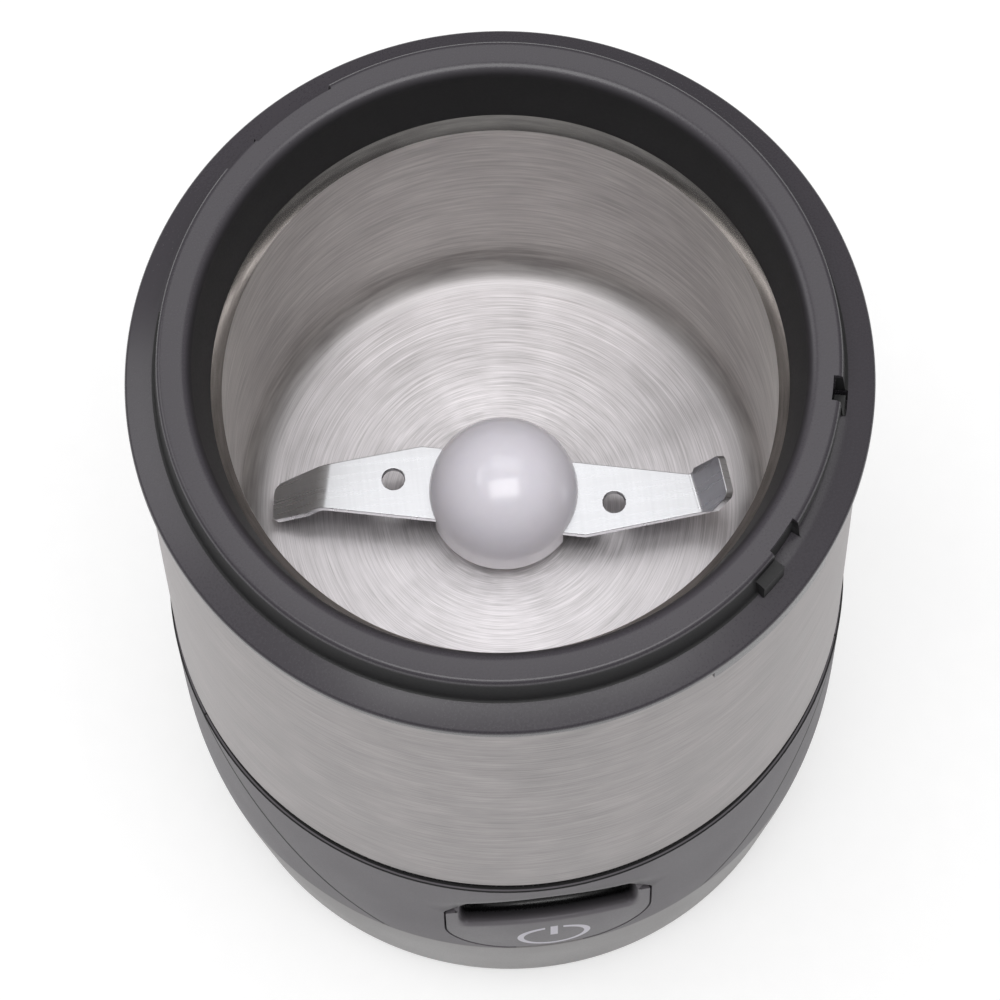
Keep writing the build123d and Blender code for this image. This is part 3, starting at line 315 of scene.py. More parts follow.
# Motor: a laminated stator with two enamelled coils, an armature with its winding and copper
# commutator, carbon brushes on folded leaves, sintered bronze bearings and a plated top bracket.
# It hangs under the frame's deck on four rubber bushes.
iron = Finish("varnished lamination steel", {"Metallic": 0.7})
x, y, z = iron.axes()
edge_lines = iron.maths("PINGPONG", z, 0.25) * 4
varnish = iron.noise(iron.place(), 240, 3)
iron.tone(edge_lines * 0.55 + varnish * 0.45, (58, 56, 55), (122, 120, 118))
iron.rough(iron.ramp(varnish, 0.3, 0.7, 0.3, 0.55))
iron.bump(edge_lines, 0.08)
dress(["stator_core", "armature_core"], iron)

enamel = Finish("enamelled copper wire", {"Metallic": 0.6, "Coat Roughness": 0.15})
x, y, z = enamel.axes()
strands = enamel.maths("PINGPONG", z + (x + y) * 0.12, 0.22) * 4.5
heat = enamel.noise(enamel.place(), 110, 3)
enamel.tone(strands * 0.6 + heat * 0.4, (96, 44, 18), (198, 112, 58))
enamel.rough(enamel.ramp(strands, 0, 1, 0.5, 0.22))
enamel.bump(strands, 0.14)
dress(["field_coils", "armature_winding"], enamel)

copper = Finish("turned copper", {"Metallic": 1.0, "Anisotropic": 0.5})
x, y, z = copper.axes()
tool_marks = copper.noise(copper.joined(0, 0, z * 4), 1, 3)
copper.tone(tool_marks, (176, 104, 72), (232, 164, 128))
copper.rough(copper.ramp(tool_marks, 0.3, 0.7, 0.2, 0.4))
copper.bump(tool_marks, 0.01)
dress(["commutator"], copper)

bronze = Finish("oil filled sintered bronze", {"Metallic": 0.9})
pores = bronze.noise(bronze.place(), 3200, 2)
oil = bronze.noise(bronze.place(), 320, 2)
bronze.tone(pores * 0.6 + oil * 0.4, (112, 84, 46), (186, 150, 96))
bronze.rough(bronze.ramp(oil, 0.35, 0.65, 0.32, 0.6))
bronze.bump(pores, 0.03)
dress(["top_bearing", "lower_bearing"], bronze)

carbon = Finish("pressed carbon")
sheen = carbon.noise(carbon.scaled(carbon.place(), 300, 300, 2400), 1, 3)
carbon.tone(sheen, (26, 26, 28), (62, 62, 66))
carbon.rough(carbon.ramp(sheen, 0.3, 0.7, 0.4, 0.65))
carbon.bump(sheen, 0.02)
dress(["carbon_brushes"], carbon)

natural = Finish("natural white plastic", {"Subsurface Weight": 0.1, "Coat Roughness": 0.2})
cloudy = natural.noise(natural.place(), 130, 3)
orange_peel = natural.noise(natural.place(), 900, 2)
natural.tone(cloudy * 0.7 + orange_peel * 0.3, (212, 210, 200), (236, 234, 228))
natural.rough(natural.ramp(orange_peel, 0.3, 0.7, 0.3, 0.46))
natural.bump(orange_peel, 0.02)
dress(["fan", "blade_spacer", "switch_plunger", "interlock_plunger"], natural)

ground = Finish("ground steel bar", {"Metallic": 1.0, "Anisotropic": 0.4})
x, y, z = ground.axes()
grind = ground.noise(ground.joined(x * 0.4, y * 0.4, z * 9), 1, 2)
ground.tone(grind, (158, 158, 160), (212, 212, 214))
ground.rough(ground.ramp(grind, 0.3, 0.7, 0.14, 0.32))
ground.bump(grind, 0.005)
dress(["motor_shaft", "button_pin", "brush_springs"], ground)

plate = Finish("zinc plated sheet steel", {"Metallic": 1.0})
spangle = plate.noise(plate.place(), 420, 3)
roll = plate.noise(plate.scaled(plate.place(), 20, 900, 900), 1, 3)
plate.tone(spangle * 0.5 + roll * 0.5, (146, 148, 152), (200, 202, 200))
plate.rough(plate.ramp(spangle, 0.3, 0.7, 0.26, 0.44))
plate.bump(roll, 0.008)
dress(["top_bracket"], plate)

# Upper base housing: moulded in warm grey plastic with a very fine spark eroded grain. It wraps
# round the back and sides from one seam of the front panel to the other, over the silver band,
# and has the cord's outlet at the back.
shell_low, shell_high, shell_wall = band_top, 58.5, 2.4
ledge_line = 48.74
seam_height, seam_across, seam_slope, seam_bend = 41.85, 36.3, 0.68168, 0.00523


def seam_place(height):
    """How far from the middle plane the front panel's seam runs at a height, in mm."""
    above = height - seam_height
    return above * (seam_slope - above * seam_bend) + seam_across


def warm_grey(name):
    """The housing's plastic, with its colour and roughness: its grain, dark edges at the seams,
    and painted shade on the ledge under the trim ring, dark round a pale line."""
    finish = Finish(name, {"Specular IOR Level": 0.42})
    erosion = finish.noise(finish.place(), 3400, 3, 0.6)
    drift = finish.noise(finish.place(), 60, 3)
    plain = finish.blend(erosion * 0.35 + drift * 0.65, srgb(94, 91, 95), srgb(114, 110, 115))
    x, y, z = finish.axes()
    radius = (x**2 + y**2) ** 0.5
    # The ledge's top face is painted near black as shade under the trim ring and sleeve, except for
    # a pale line along it.
    on_line = finish.ramp(abs(radius - ledge_line), 0.09, 0.15, 1, 0)
    ledge = finish.blend(on_line, srgb(14, 13, 15), srgb(104, 100, 105))
    at_seam = finish.ramp(abs(abs(x) - seam_place(z)), 0.34, 0.48, 1, 0) * (y < 0)
    lined = finish.blend(at_seam, plain, srgb(20, 19, 20))
    finish.bump(erosion, 0.02)
    return (finish, finish.blend(finish.ramp(z, 58.3, 58.42), lined, ledge),
            finish.ramp(erosion + drift, 0.7, 1.3, 0.46, 0.6))


housing, lined, roughness = warm_grey("warm grey moulded plastic")
housing.colour(lined)
housing.rough(roughness)


def on_body(azimuth, height, inset=0.0):
    """A point of the base's outside; the azimuth runs from the front towards the right."""
    radius = body_radius(height) - inset
    return Vector((radius * sin(azimuth), -radius * cos(azimuth), height))


def seam_azimuth(height):
    """Where the seam between the front panel and the housing runs, on the right."""
    return asin(seam_place(height) / body_radius(height))


def laid_grid(columns, rows, place):
    """A grid whose points go where place(u, v) says, with u and v from 0 to 1."""
    shape = bmesh.new()
    bmesh.ops.create_grid(shape, x_segments=columns, y_segments=rows, size=0.5)
    for vert in shape.verts:
        vert.co = place(vert.co.x + 0.5, vert.co.y + 0.5) * mm
    return shape


def soften(made, edge, segments, sharpest):
    """Rounds the edges that turn more than an angle and keeps the flats beside them even."""
    soft = made.modifiers.new("softened edges", "BEVEL")
    soft.width = edge * mm
    soft.segments = segments
    soft.limit_method = "ANGLE"
    soft.angle_limit = radians(sharpest)
    soft.harden_normals = True


def shelled(made, wall, edge, segments=2):
    """Gives a surface its wall, inwards, and softens the wall's edges."""
    solid = made.modifiers.new("wall", "SOLIDIFY")
    solid.thickness = wall * mm
    solid.offset = -1.0
    solid.use_even_offset = True
    soften(made, edge, segments, 50)


def facing(shape, outwards):
    """Evens the normals of an open surface, and turns them to where outwards(face) is above 0."""
    bmesh.ops.recalc_face_normals(shape, faces=shape.faces)
    if sum(outwards(face) for face in shape.faces) < 0:
        bmesh.ops.reverse_faces(shape, faces=shape.faces)


def from_axis(face):
    """Above 0 where a face of the base's wall looks away from the body's axis."""
    return face.normal.dot(face.calc_center_median())


def shell_start(height):
    """Azimuth of the housing's edge on the right, a gap behind the seam."""
    return seam_azimuth(height) + seam_gap / body_radius(height)


def shell_place(u, v):
    """A point of the housing: u runs round the back from seam to seam, v up the wall."""
    height = shell_low + (shell_high - shell_low) * v
    start = shell_start(height)
    return on_body(start + (tau - 2 * start) * u, height)


shell_columns, shell_rows, seam_gap = 240, 40, 0.45
outlet_height, outlet_bore, outlet_cells = 36.0, 3.4, 6
shape = laid_grid(shell_columns, shell_rows, shell_place)
row_height = (shell_high - shell_low) / shell_rows
hole_row = round((outlet_height - shell_low) / row_height)
column_turn = (tau - 2 * shell_start(outlet_height)) / shell_columns
patch_across = body_radius(outlet_height) * sin(outlet_cells * column_turn)
inside = set()
for face in shape.faces:
    centre = face.calc_center_median() / mm
    if (centre.y > 0 and abs(centre.x) < patch_across
            and abs(centre.z - shell_low - hole_row * row_height) < outlet_cells * row_height):
        inside.add(face)
rim = [edge for edge in shape.edges if len(inside.intersection(edge.link_faces)) == 1]
bmesh.ops.delete(shape, geom=list(inside), context="FACES")
ring = bmesh.ops.create_circle(shape, segments=len(rim), radius=outlet_bore * mm)["verts"]
for vert in ring:
    across, up = vert.co.x, vert.co.y
    height = outlet_height + up / mm
    vert.co = Vector((across, sqrt((body_radius(height) * mm) ** 2 - across**2), height * mm))
ring_edges = {edge for vert in ring for edge in vert.link_edges}
bmesh.ops.bridge_loops(shape, edges=rim + list(ring_edges))
facing(shape, from_axis)
made = piece("housing_shell", shape, "root", housing, ["base_shell"], 40)
shelled(made, shell_wall, 0.15)

# Front panel: moulded in the same plastic, set flush into the housing. Its opening frames the
# paddle, where its wall is thinned to leave room for the rocking, and above the paddle its lip
# rolls softly inwards.
half_opening, opening_foot, opening_corner = 15.3, 25.3, 10.3
opening_side, opening_crown = 44.7, 51.1
seam_share, seam_top_gap, row_bunching = 29 / 64, 0.0025, 1.6
lip_roll, lip_reach, lip_blend, lip_shade, lip_painted_shade = 1.5, 5.0, 4.0, 6.5, (8, 8, 9)
panel_wall, side_wall, panel_gap = 2.2, 0.38, 0.12


def crown_arc(half, side, crown):
    """Radius and centre height of an arc over a straight sided opening."""
    radius = (half**2 + (crown - side) ** 2) / (2 * (crown - side))
    return radius, crown - radius


crown_radius, crown_centre = crown_arc(half_opening, opening_side, opening_crown)
panel, lined, roughness = warm_grey("warm grey panel plastic")
x, y, z = panel.axes()
# Painted shade over the lip above the paddle: the colour fades towards near black over the last
# lip_shade mm above the opening.
above_lip = z - (abs(crown_radius**2 - x**2) ** 0.5 + crown_centre)
roll = (panel.ramp(above_lip, 0, lip_shade, 1, 0) * panel.ramp(abs(x), 12, 16, 1, 0)
        * (above_lip > -0.4) * (y < 0))
panel.colour(panel.blend(roll * 0.96, lined, srgb(*lip_painted_shade)))
panel.rough(roughness - roll * 0.15)


def opening_edge(share):
    """A point of the opening's right half, from its foot at 0 to its crown at 1."""
    turn = asin(half_opening / crown_radius)
    corner_run = opening_corner * pi / 2
    side_run = opening_side - opening_foot - opening_corner
    run = share * (corner_run + side_run + crown_radius * turn)
    if run < corner_run:
        angle = run / opening_corner
        return (half_opening - opening_corner * (1 - sin(angle)),
                opening_foot + opening_corner * (1 - cos(angle)))
    if run < corner_run + side_run:
        return half_opening, opening_foot + opening_corner + run - corner_run
    angle = turn - (run - corner_run - side_run) / crown_radius
    return crown_radius * sin(angle), crown_centre + crown_radius * cos(angle)


def eased(value):
    """A share from 0 to 1 that starts and ends gently."""
    value = min(1.0, max(0.0, value))
    return value * value * (3 - 2 * value)


def panel_place(u, v):
    """A point of the panel: u runs round the paddle's opening, v from it to the outer edge."""
    share = min(1.0, 1 - abs(2 * u - 1))
    side = -1 if u < 0.5 else 1
    across, near_height = opening_edge(share)
    near = asin(across / body_radius(near_height))
    if share < seam_share:
        far_height = shell_low + (shell_high - shell_low) * share / seam_share
        far = seam_azimuth(far_height) - panel_gap / body_radius(far_height)
    else:
        far_height = shell_high
        far = (seam_azimuth(shell_high) - seam_top_gap) * (1 - share) / (1 - seam_share)
    out = v**row_bunching
    height = near_height + (far_height - near_height) * out
    azimuth = near + (far - near) * out
    run = hypot(height - near_height, (azimuth - near) * body_radius(height))
    crowned = min(1.0, max(0.0, (near_height - opening_side) / lip_blend))
    rolled = lip_roll * crowned * max(0.0, 1 - run / lip_reach) ** 2.2
    return on_body(side * azimuth, height, rolled)


shape = laid_grid(128, 26, panel_place)
bmesh.ops.remove_doubles(shape, verts=shape.verts, dist=0.0000005)
facing(shape, from_axis)
made = piece("front_panel_skin", shape, "root", panel, ["front_panel"], 40)
full_wall = made.vertex_groups.new(name="full wall")
for vert in made.data.vertices:
    across, height = abs(vert.co.x) / mm, vert.co.z / mm
    past_side = max(across - half_opening, height - opening_crown, 0.0)
    share = side_wall + (1 - side_wall) * eased((past_side - 0.3) / 2.5)
    full_wall.add([vert.index], share, "REPLACE")
shelled(made, panel_wall, 0.15)
made.modifiers["wall"].vertex_group = "full wall"

# Power paddle: one grey moulding that rocks on a steel pin behind the panel. Its face carries a
# printed power symbol, and above the face a scoop between two flanks takes the fingertip.
paddle = Finish("dark grey paddle plastic", {"Specular IOR Level": 0.45})
paddle_half, paddle_foot, paddle_corner = 15.0, 25.6, 10.0
face_side, face_crown = 36.5, 41.2
edge_side, edge_crown = 43.4, 49.8
flank, flank_blend, scoop_depth, edge_round = 2.2, 1.8, 4.4, 0.6
paddle_wall, paddle_sunk = 1.4, 0.1
symbol_middle, symbol_across, ring_radius, stroke_half = 31.9, 0.6, 4.95, 0.42
gap_half, bar_half, bar_middle, bar_reach, soft_edge = 1.3, 0.5, 3.1, 2.45, 0.08
scoop_shade_colour = (9, 9, 10)
x, y, z = paddle.axes()
grains = paddle.noise(paddle.place(), 3000, 3, 0.6)
softness = paddle.noise(paddle.place(), 80, 3)
side_step, up_step = x - symbol_across, z - symbol_middle
from_middle = (side_step**2 + up_step**2) ** 0.5


def within(distance, half, edge=soft_edge):
    """1 where a distance is under a half width, falling to 0 over a soft edge."""
    return paddle.ramp(distance, half, half + edge, 1, 0)


on_ring = within(abs(from_middle - ring_radius), stroke_half)
in_gap = within(abs(side_step), gap_half, 0.1) * (up_step > 0)
on_bar = within(abs(side_step), bar_half) * within(abs(up_step - bar_middle), bar_reach)
symbol = paddle.maths("MAXIMUM", on_ring * (1 - in_gap), on_bar) * (y < -40)
body_colour = paddle.blend(
    grains * 0.35 + softness * 0.65, srgb(94, 91, 95), srgb(112, 108, 113)
)
# The scoop behind the paddle's face is painted near black as shade under the panel's lip.
in_scoop = paddle.ramp((x**2 + y**2) ** 0.5, 46.3, 48.0, 1, 0) * (z > 34)
with_scoop_shade = paddle.blend(in_scoop, body_colour, srgb(*scoop_shade_colour))
paddle.colour(paddle.blend(symbol, with_scoop_shade, srgb(206, 202, 214)))
paddle.rough(
    paddle.ramp(grains + softness, 0.7, 1.3, 0.4, 0.54) - symbol * 0.12 - in_scoop * 0.22
)
paddle.bump(grains * 0.5 * (1 - in_scoop) + symbol, 0.02)
face_rows, round_rows, scoop_rows, paddle_rows = 14, 20, 34, 40
scoop_line = [(0.0, edge_round), (-0.25, 1.2), (-0.8, 2.0), (-1.0, 2.8), (-0.8, 3.6),
              (-0.1, 4.15), (1.0, scoop_depth)]


def paddle_place(u, v):
    """Up the paddle's middle line: the face, its rounded edge, the scoop and its back."""
    across = -paddle_half * cos(pi * u)
    overhang = abs(across) - (paddle_half - paddle_corner)
    foot = paddle_foot + paddle_corner - sqrt(paddle_corner**2 - max(0.0, overhang) ** 2)
    radius, centre = crown_arc(paddle_half, face_side, face_crown)
    face_top = centre + sqrt(radius**2 - across**2)
    radius, centre = crown_arc(paddle_half, edge_side, edge_crown)
    edge = centre + sqrt(radius**2 - across**2)
    step = v * paddle_rows
    if step <= face_rows:
        height, inset = foot + (face_top - edge_round - foot) * step / face_rows, 0.0
        plain = height
    else:
        share = (step - face_rows) / (paddle_rows - face_rows)
        plain = face_top - edge_round + (edge - face_top + edge_round) * share
        if step <= round_rows:
            angle = (step - face_rows) / (round_rows - face_rows) * pi / 2
            height = face_top - edge_round * (1 - sin(angle))
            inset = edge_round * (1 - cos(angle))
        elif step <= scoop_rows:
            share = (step - round_rows) / (scoop_rows - round_rows) * (len(scoop_line) - 1)
            place = min(int(share), len(scoop_line) - 2)
            here, there = scoop_line[place], scoop_line[place + 1]
            part = eased(share - place) * 0.3 + (share - place) * 0.7
            height = face_top + here[0] + (there[0] - here[0]) * part
            inset = here[1] + (there[1] - here[1]) * part
        else:
            start = face_top + scoop_line[-1][0]
            share = (step - scoop_rows) / (paddle_rows - scoop_rows)
            height = start + (edge - 0.2 - start) * share
            inset = scoop_depth
    depth = eased((paddle_half - flank - abs(across)) / flank_blend + 0.35)
    height = plain + (height - plain) * depth
    y_front = sqrt((body_radius(height) - paddle_sunk) ** 2 - across**2) - inset * depth
    return Vector((across, -y_front, height))


shape = laid_grid(96, paddle_rows, paddle_place)
facing(shape, lambda face: -face.normal.y)
made = piece("power_paddle", shape, "button", paddle, ["button"], 45)
shelled(made, paddle_wall, 0.12)

# Trim ring: a narrow moulded ring, seated on the housing's flange, that the steel sleeve stands
# on. It is of the same dark plastic as the collar at the top, with its colour painted near black as
# shade under the sleeve.
dark = Finish("black collar plastic", {"Specular IOR Level": 0.5})
x, y, z = dark.axes()
fine = dark.noise(dark.place(), 2600, 3, 0.6)
slow = dark.noise(dark.place(), 38, 3)
azimuth = dark.maths("ARCTAN2", x, -y)
radius = (x**2 + y**2) ** 0.5


def parting(heading):
    """A mould's fine parting line down the collar, at a heading in degrees."""
    return dark.ramp(abs(azimuth - radians(heading)), 0.0012, 0.003, 1, 0)


flange_line = parting(-155) * (z < 140.5) * (z > 137)
throat_line = parting(-39) * (z > 140.5)
mould_line = dark.maths("MAXIMUM", flange_line, throat_line)
share = fine * 0.3 + slow * 0.7 + mould_line * 0.3
grained = dark.blend(share, srgb(52, 49, 54), srgb(66, 62, 68))
# Painted shade: the throat, the neck's outer wall and the whole trim ring take a near black tone in
# place of the grained plastic's colour.
painted_shade_tone = dark.blend(share, srgb(12, 12, 13), srgb(20, 19, 21))
in_throat = dark.ramp(radius, 40.6, 41.6, 1, 0) * (z > 135)
on_wall = (radius > 44.55) * dark.ramp(z, 144.4, 144.9, 1, 0) * (z > 140.04)
# The trim ring's near black is painted shade under the sleeve.
on_trim = z < 62
painted_shade_part = dark.maths("MAXIMUM", dark.maths("MAXIMUM", in_throat, on_wall), on_trim)
dark.colour(dark.blend(painted_shade_part, grained, painted_shade_tone))
dark.rough(dark.ramp(fine + slow, 0.7, 1.3, 0.22, 0.32) + (in_throat + on_wall) * 0.3)
dark.bump(fine * 0.4 * (1 - painted_shade_part) + mould_line, 0.008)
trim_top, trim_radius, trim_bore = 60.9, 48.3, 43.0
shape = turned(
    [(trim_bore, shell_high), (trim_radius, shell_high, 0.3), (trim_radius, trim_top, 0.3),
     (trim_bore, trim_top)],
)
piece("trim", shape, "root", dark, ["trim_ring"])

# Sleeve: a tube of stainless steel sheet, rolled, seam welded at the back and brushed round the
# body, with its lower edge turned in over the trim ring.
steel = Finish(
    "brushed stainless steel",
    {"Metallic": 1.0, "Anisotropic": 0.6, "Anisotropic Rotation": 0.25},
)
place = steel.place()
strokes = steel.streaks(steel.scaled(place, 150, 150, 1500))
hairs = steel.streaks(steel.scaled(place, 90, 90, 4200))
mottling = steel.streaks(place, 130)
steel.tone(
    strokes * 0.4 + hairs * 0.35 + mottling * 0.25, (104, 100, 100), (180, 175, 175)
)
steel.rough(steel.ramp(strokes + mottling * 0.5, 0.2, 1.3, 0.3, 0.46))
steel.bump(strokes, 0.006)
sleeve_radius, sleeve_wall, sleeve_top, turned_in = 48.75, 0.5, 137.3, 46.6
sleeve_bore = sleeve_radius - sleeve_wall
shape = turned(
    [(sleeve_bore, trim_top + sleeve_wall), (turned_in, trim_top + sleeve_wall),
     (turned_in, trim_top), (sleeve_radius, trim_top, 0.35), (sleeve_radius, sleeve_top),
     (sleeve_bore, sleeve_top)], 288,
)
piece("steel_sleeve", shape, "root", steel, ["sleeve"])

# Collar: the moulded top ring. Its flange caps the sleeve, and its neck carries two entry
# pockets, their tracks and a stop lug for the lid, with a slot for the interlock rod. Screws
# come up into it from the frame.
neck_wall, neck_foot, neck_top, taper = 45.9, 140.2, 145.5, 0.55
track_top, lug_top = 143.4, 143.7
throat, gasket_seat, gasket_bore, rim_height = 41.0, 136.25, 39.4, 135.45
flange_radius, flange_low, skirt_foot = 50.0, 137.0, 130.0


def wall_radius(height):
    """Radius of the neck's leaning outside."""
    return neck_wall - taper * (height - neck_foot) / (neck_top - neck_foot)


def azimuth_of(point):
    """Degrees from the front towards the right."""
    return degrees(atan2(point.x, -point.y)) % 360


def patch_of(shape, start, stop, radii, heights):
    """Faces between two azimuths, two radii and two heights, by their middles."""
    found = []
    for face in shape.faces:
        middle = face.calc_center_median()
        if (heights[0] < middle.z / mm < heights[1]
                and radii[0] < hypot(middle.x, middle.y) / mm < radii[1]
                and start + 0.1 < azimuth_of(middle) < stop - 0.1):
            found.append(face)
    return found


def new_verts(shape, faces):
    """Extrudes a patch, leaves the old one out and gives the new one's corners."""
    grown = bmesh.ops.extrude_face_region(shape, geom=faces)["geom"]
    bmesh.ops.delete(shape, geom=faces, context="FACES")
    return [part for part in grown if isinstance(part, bmesh.types.BMVert)]


def pushed_to(shape, faces, radius, inwards=True):
    """Moves a patch to another radius and walls it in."""
    for vert in new_verts(shape, faces):
        now = hypot(vert.co.x, vert.co.y) / mm
        if (now > radius) == inwards:
            vert.co.x *= radius / now
            vert.co.y *= radius / now


pocket_floor, step_floor, rod_floor = 44.6, 44.95, 44.2
lug_face, lug_root, neck_skin, low_edge = 47.1, 45.4, 46.3, 139.95
rod_way, rod_depth, tab_span, tab_drop, lip_inner = (74.5, 79.0), 136.4, (27.0, 52.0), 2.0, 48.9
shape = turned(
    [(38.6, 135.6, 0.25), (39.25, 135.6), (39.25, gasket_seat), (46.4, gasket_seat),
     (46.4, skirt_foot), (48.1, skirt_foot), (48.1, 137.45), (lip_inner, 137.45),
     (lip_inner, flange_low, 0.15), (flange_radius, flange_low, 0.2),
     (flange_radius, 138.5, 0.6), (46.8, 139.82), (neck_skin, 140.03),
     (neck_wall, neck_foot, 0.35), (wall_radius(track_top), track_top),
     (wall_radius(lug_top), lug_top), (wall_radius(neck_top), neck_top, 0.7),
     (pocket_floor, neck_top), (rod_floor, neck_top), (throat, neck_top, 1.8)], 720,
)
open_top = 146.0
for start, stop, top, floor_radius in (
        (45.0, 52.0, open_top, pocket_floor),     # right pocket
        (52.0, 74.5, track_top, pocket_floor),    # its track
        (203.0, 219.0, open_top, pocket_floor),   # pocket at the back
        (219.0, 226.0, open_top, step_floor),     # its step
        (226.0, 252.0, track_top, pocket_floor),  # its track
):
    skin = patch_of(shape, start, stop, (pocket_floor, neck_skin), (low_edge, top))
    pushed_to(shape, skin, floor_radius)
lug = patch_of(shape, 40.0, 45.0, (lug_root, neck_skin), (low_edge, lug_top))
pushed_to(shape, lug, lug_face, False)
way = patch_of(shape, *rod_way, (rod_floor, neck_skin), (low_edge, open_top))
pushed_to(shape, way, rod_floor)
bmesh.ops.remove_doubles(shape, verts=shape.verts, dist=0.000002)
way = [face for face in patch_of(shape, *rod_way, (rod_floor, neck_skin), (139.9, 140.4))
       if abs(face.normal.z) > 0.9]
for vert in new_verts(shape, way):
    vert.co.z = rod_depth * mm
rim_heights = (flange_low - 0.1, flange_low + 0.1)
tab = patch_of(shape, *tab_span, (lip_inner, flange_radius), rim_heights)
for vert in new_verts(shape, tab):
    vert.co.z -= tab_drop * mm
bmesh.ops.dissolve_degenerate(shape, edges=shape.edges, dist=0.000001)
bmesh.ops.recalc_face_normals(shape, faces=shape.faces)
made = piece("lid_collar", shape, "root", dark, ["collar"], 32)
soften(made, 0.12, 2, 40)

# Grinding bowl: deep drawn stainless steel, its wall brushed round and its floor turned in fine
# rings. A rubber gasket seals its rim under the collar, and a lipped seal its floor round the
# motor's shaft.
drawn = Finish(
    "drawn bowl steel", {"Metallic": 1.0, "Anisotropic": 0.55, "Anisotropic Rotation": 0.25}
)
x, y, z = drawn.axes()
radius = (x**2 + y**2) ** 0.5
place = drawn.place()
turn_x, turn_y = x / radius, y / radius
turning = drawn.streaks(drawn.joined(turn_x * 3, turn_y * 3, radius * 7.5))
coarse = drawn.streaks(drawn.joined(turn_x * 2, turn_y * 2, radius * 2.6))
fans = drawn.streaks(drawn.joined(turn_x * 5, turn_y * 5, radius * 0.05), 1, 1)
wall_strokes = drawn.streaks(drawn.scaled(place, 120, 120, 1700))
on_wall = drawn.ramp(radius, 34.0, 36.5)
on_floor = 1 - on_wall
marks = (turning * 0.6 + coarse * 0.3 + fans * 0.1) * on_floor + wall_strokes * on_wall
patches = drawn.streaks(place, 70)
shine = drawn.blend(marks * 0.8 + patches * 0.2, srgb(152, 149, 150), srgb(240, 236, 239))
brushed = drawn.blend(marks * 0.7 + patches * 0.3, srgb(164, 160, 158), srgb(216, 212, 209))
# Painted shade in the corner between the bowl's floor and wall: the colour goes halfway towards a
# dull grey there.
corner_painted_shade = drawn.ramp(radius, 32.3, 33.6) * drawn.ramp(z, 86.0, 89.0, 1, 0)
on_flare = (z > 133.7) * (radius > 37.15)
drawn.colour(drawn.blend(corner_painted_shade * 0.5, drawn.blend(on_wall, shine, brushed),
                         srgb(116, 113, 112)))
rolled_on = drawn.ramp(marks + patches * 0.3, 0.1, 1.2, 0.36, 0.5) + on_wall * 0.06
drawn.rough(rolled_on * (1 - on_flare) + on_flare * 0.13)
drawn.bump(marks * (1 - on_flare), 0.006)
bowl_floor, bowl_sheet, floor_hole = 85.35, 0.8, 6.0
bowl_under, rim_under, rim_radius = bowl_floor - bowl_sheet, rim_height - bowl_sheet, 41.2
shape = turned(
    [(floor_hole, bowl_under), (37.8, bowl_under, 5.3), (38.4, 132.75),
     (gasket_bore, rim_under), (rim_radius, rim_under), (rim_radius, rim_height),
     (38.8, rim_height), (37.25, 133.65, 0.25), (37.0, bowl_floor, 4.5),
     (floor_hole, bowl_floor)], 288,
)
piece("drawn_bowl", shape, "root", drawn, ["bowl"], 25)

shape = turned(
    [(gasket_bore, rim_height), (throat, rim_height), (throat, gasket_seat),
     (gasket_bore, gasket_seat)],
)
piece("rim_gasket", shape, "root", rubber, ["bowl_gasket"])

seal_bore, seal_low, seal_top, seal_flange = 4.05, 83.35, 86.45, 9.0
shape = turned(
    [(seal_bore, seal_low), (seal_flange, seal_low), (seal_flange, bowl_under),
     (floor_hole, bowl_under), (floor_hole, bowl_floor), (7.5, bowl_floor, 0.1),
     (6.6, seal_top, 0.2), (seal_bore, seal_top)], 96,
)
piece("floor_seal", shape, "root", rubber, ["shaft_seal"])

# Blade: one strip of bright rolled stainless steel, blanked, pierced and folded, so that one tip
# points up and the other down. It is keyed to the top of the motor's shaft.
rolled = Finish("bright rolled steel", {"Metallic": 1.0, "Anisotropic": 0.2})
place = rolled.place()
rolling = rolled.noise(rolled.scaled(place, 60, 1800, 60), 1, 3, 0.6)
hairlines = rolled.noise(rolled.scaled(place, 2400, 80, 80), 1, 2)
rolled.tone(rolling * 0.6 + hairlines * 0.4, (186, 187, 190), (214, 214, 217))
rolled.rough(rolled.ramp(rolling, 0.3, 0.7, 0.24, 0.34))
rolled.bump(rolling * 0.7 + hairlines * 0.3, 0.002)
blade_middle, blade_turn, root_half, taper_start = 91.7, radians(-13.8), 5.3, 12.2
hole_at, hole_radius, window, sheet = 15.6, 1.6, 6.8, 1.2


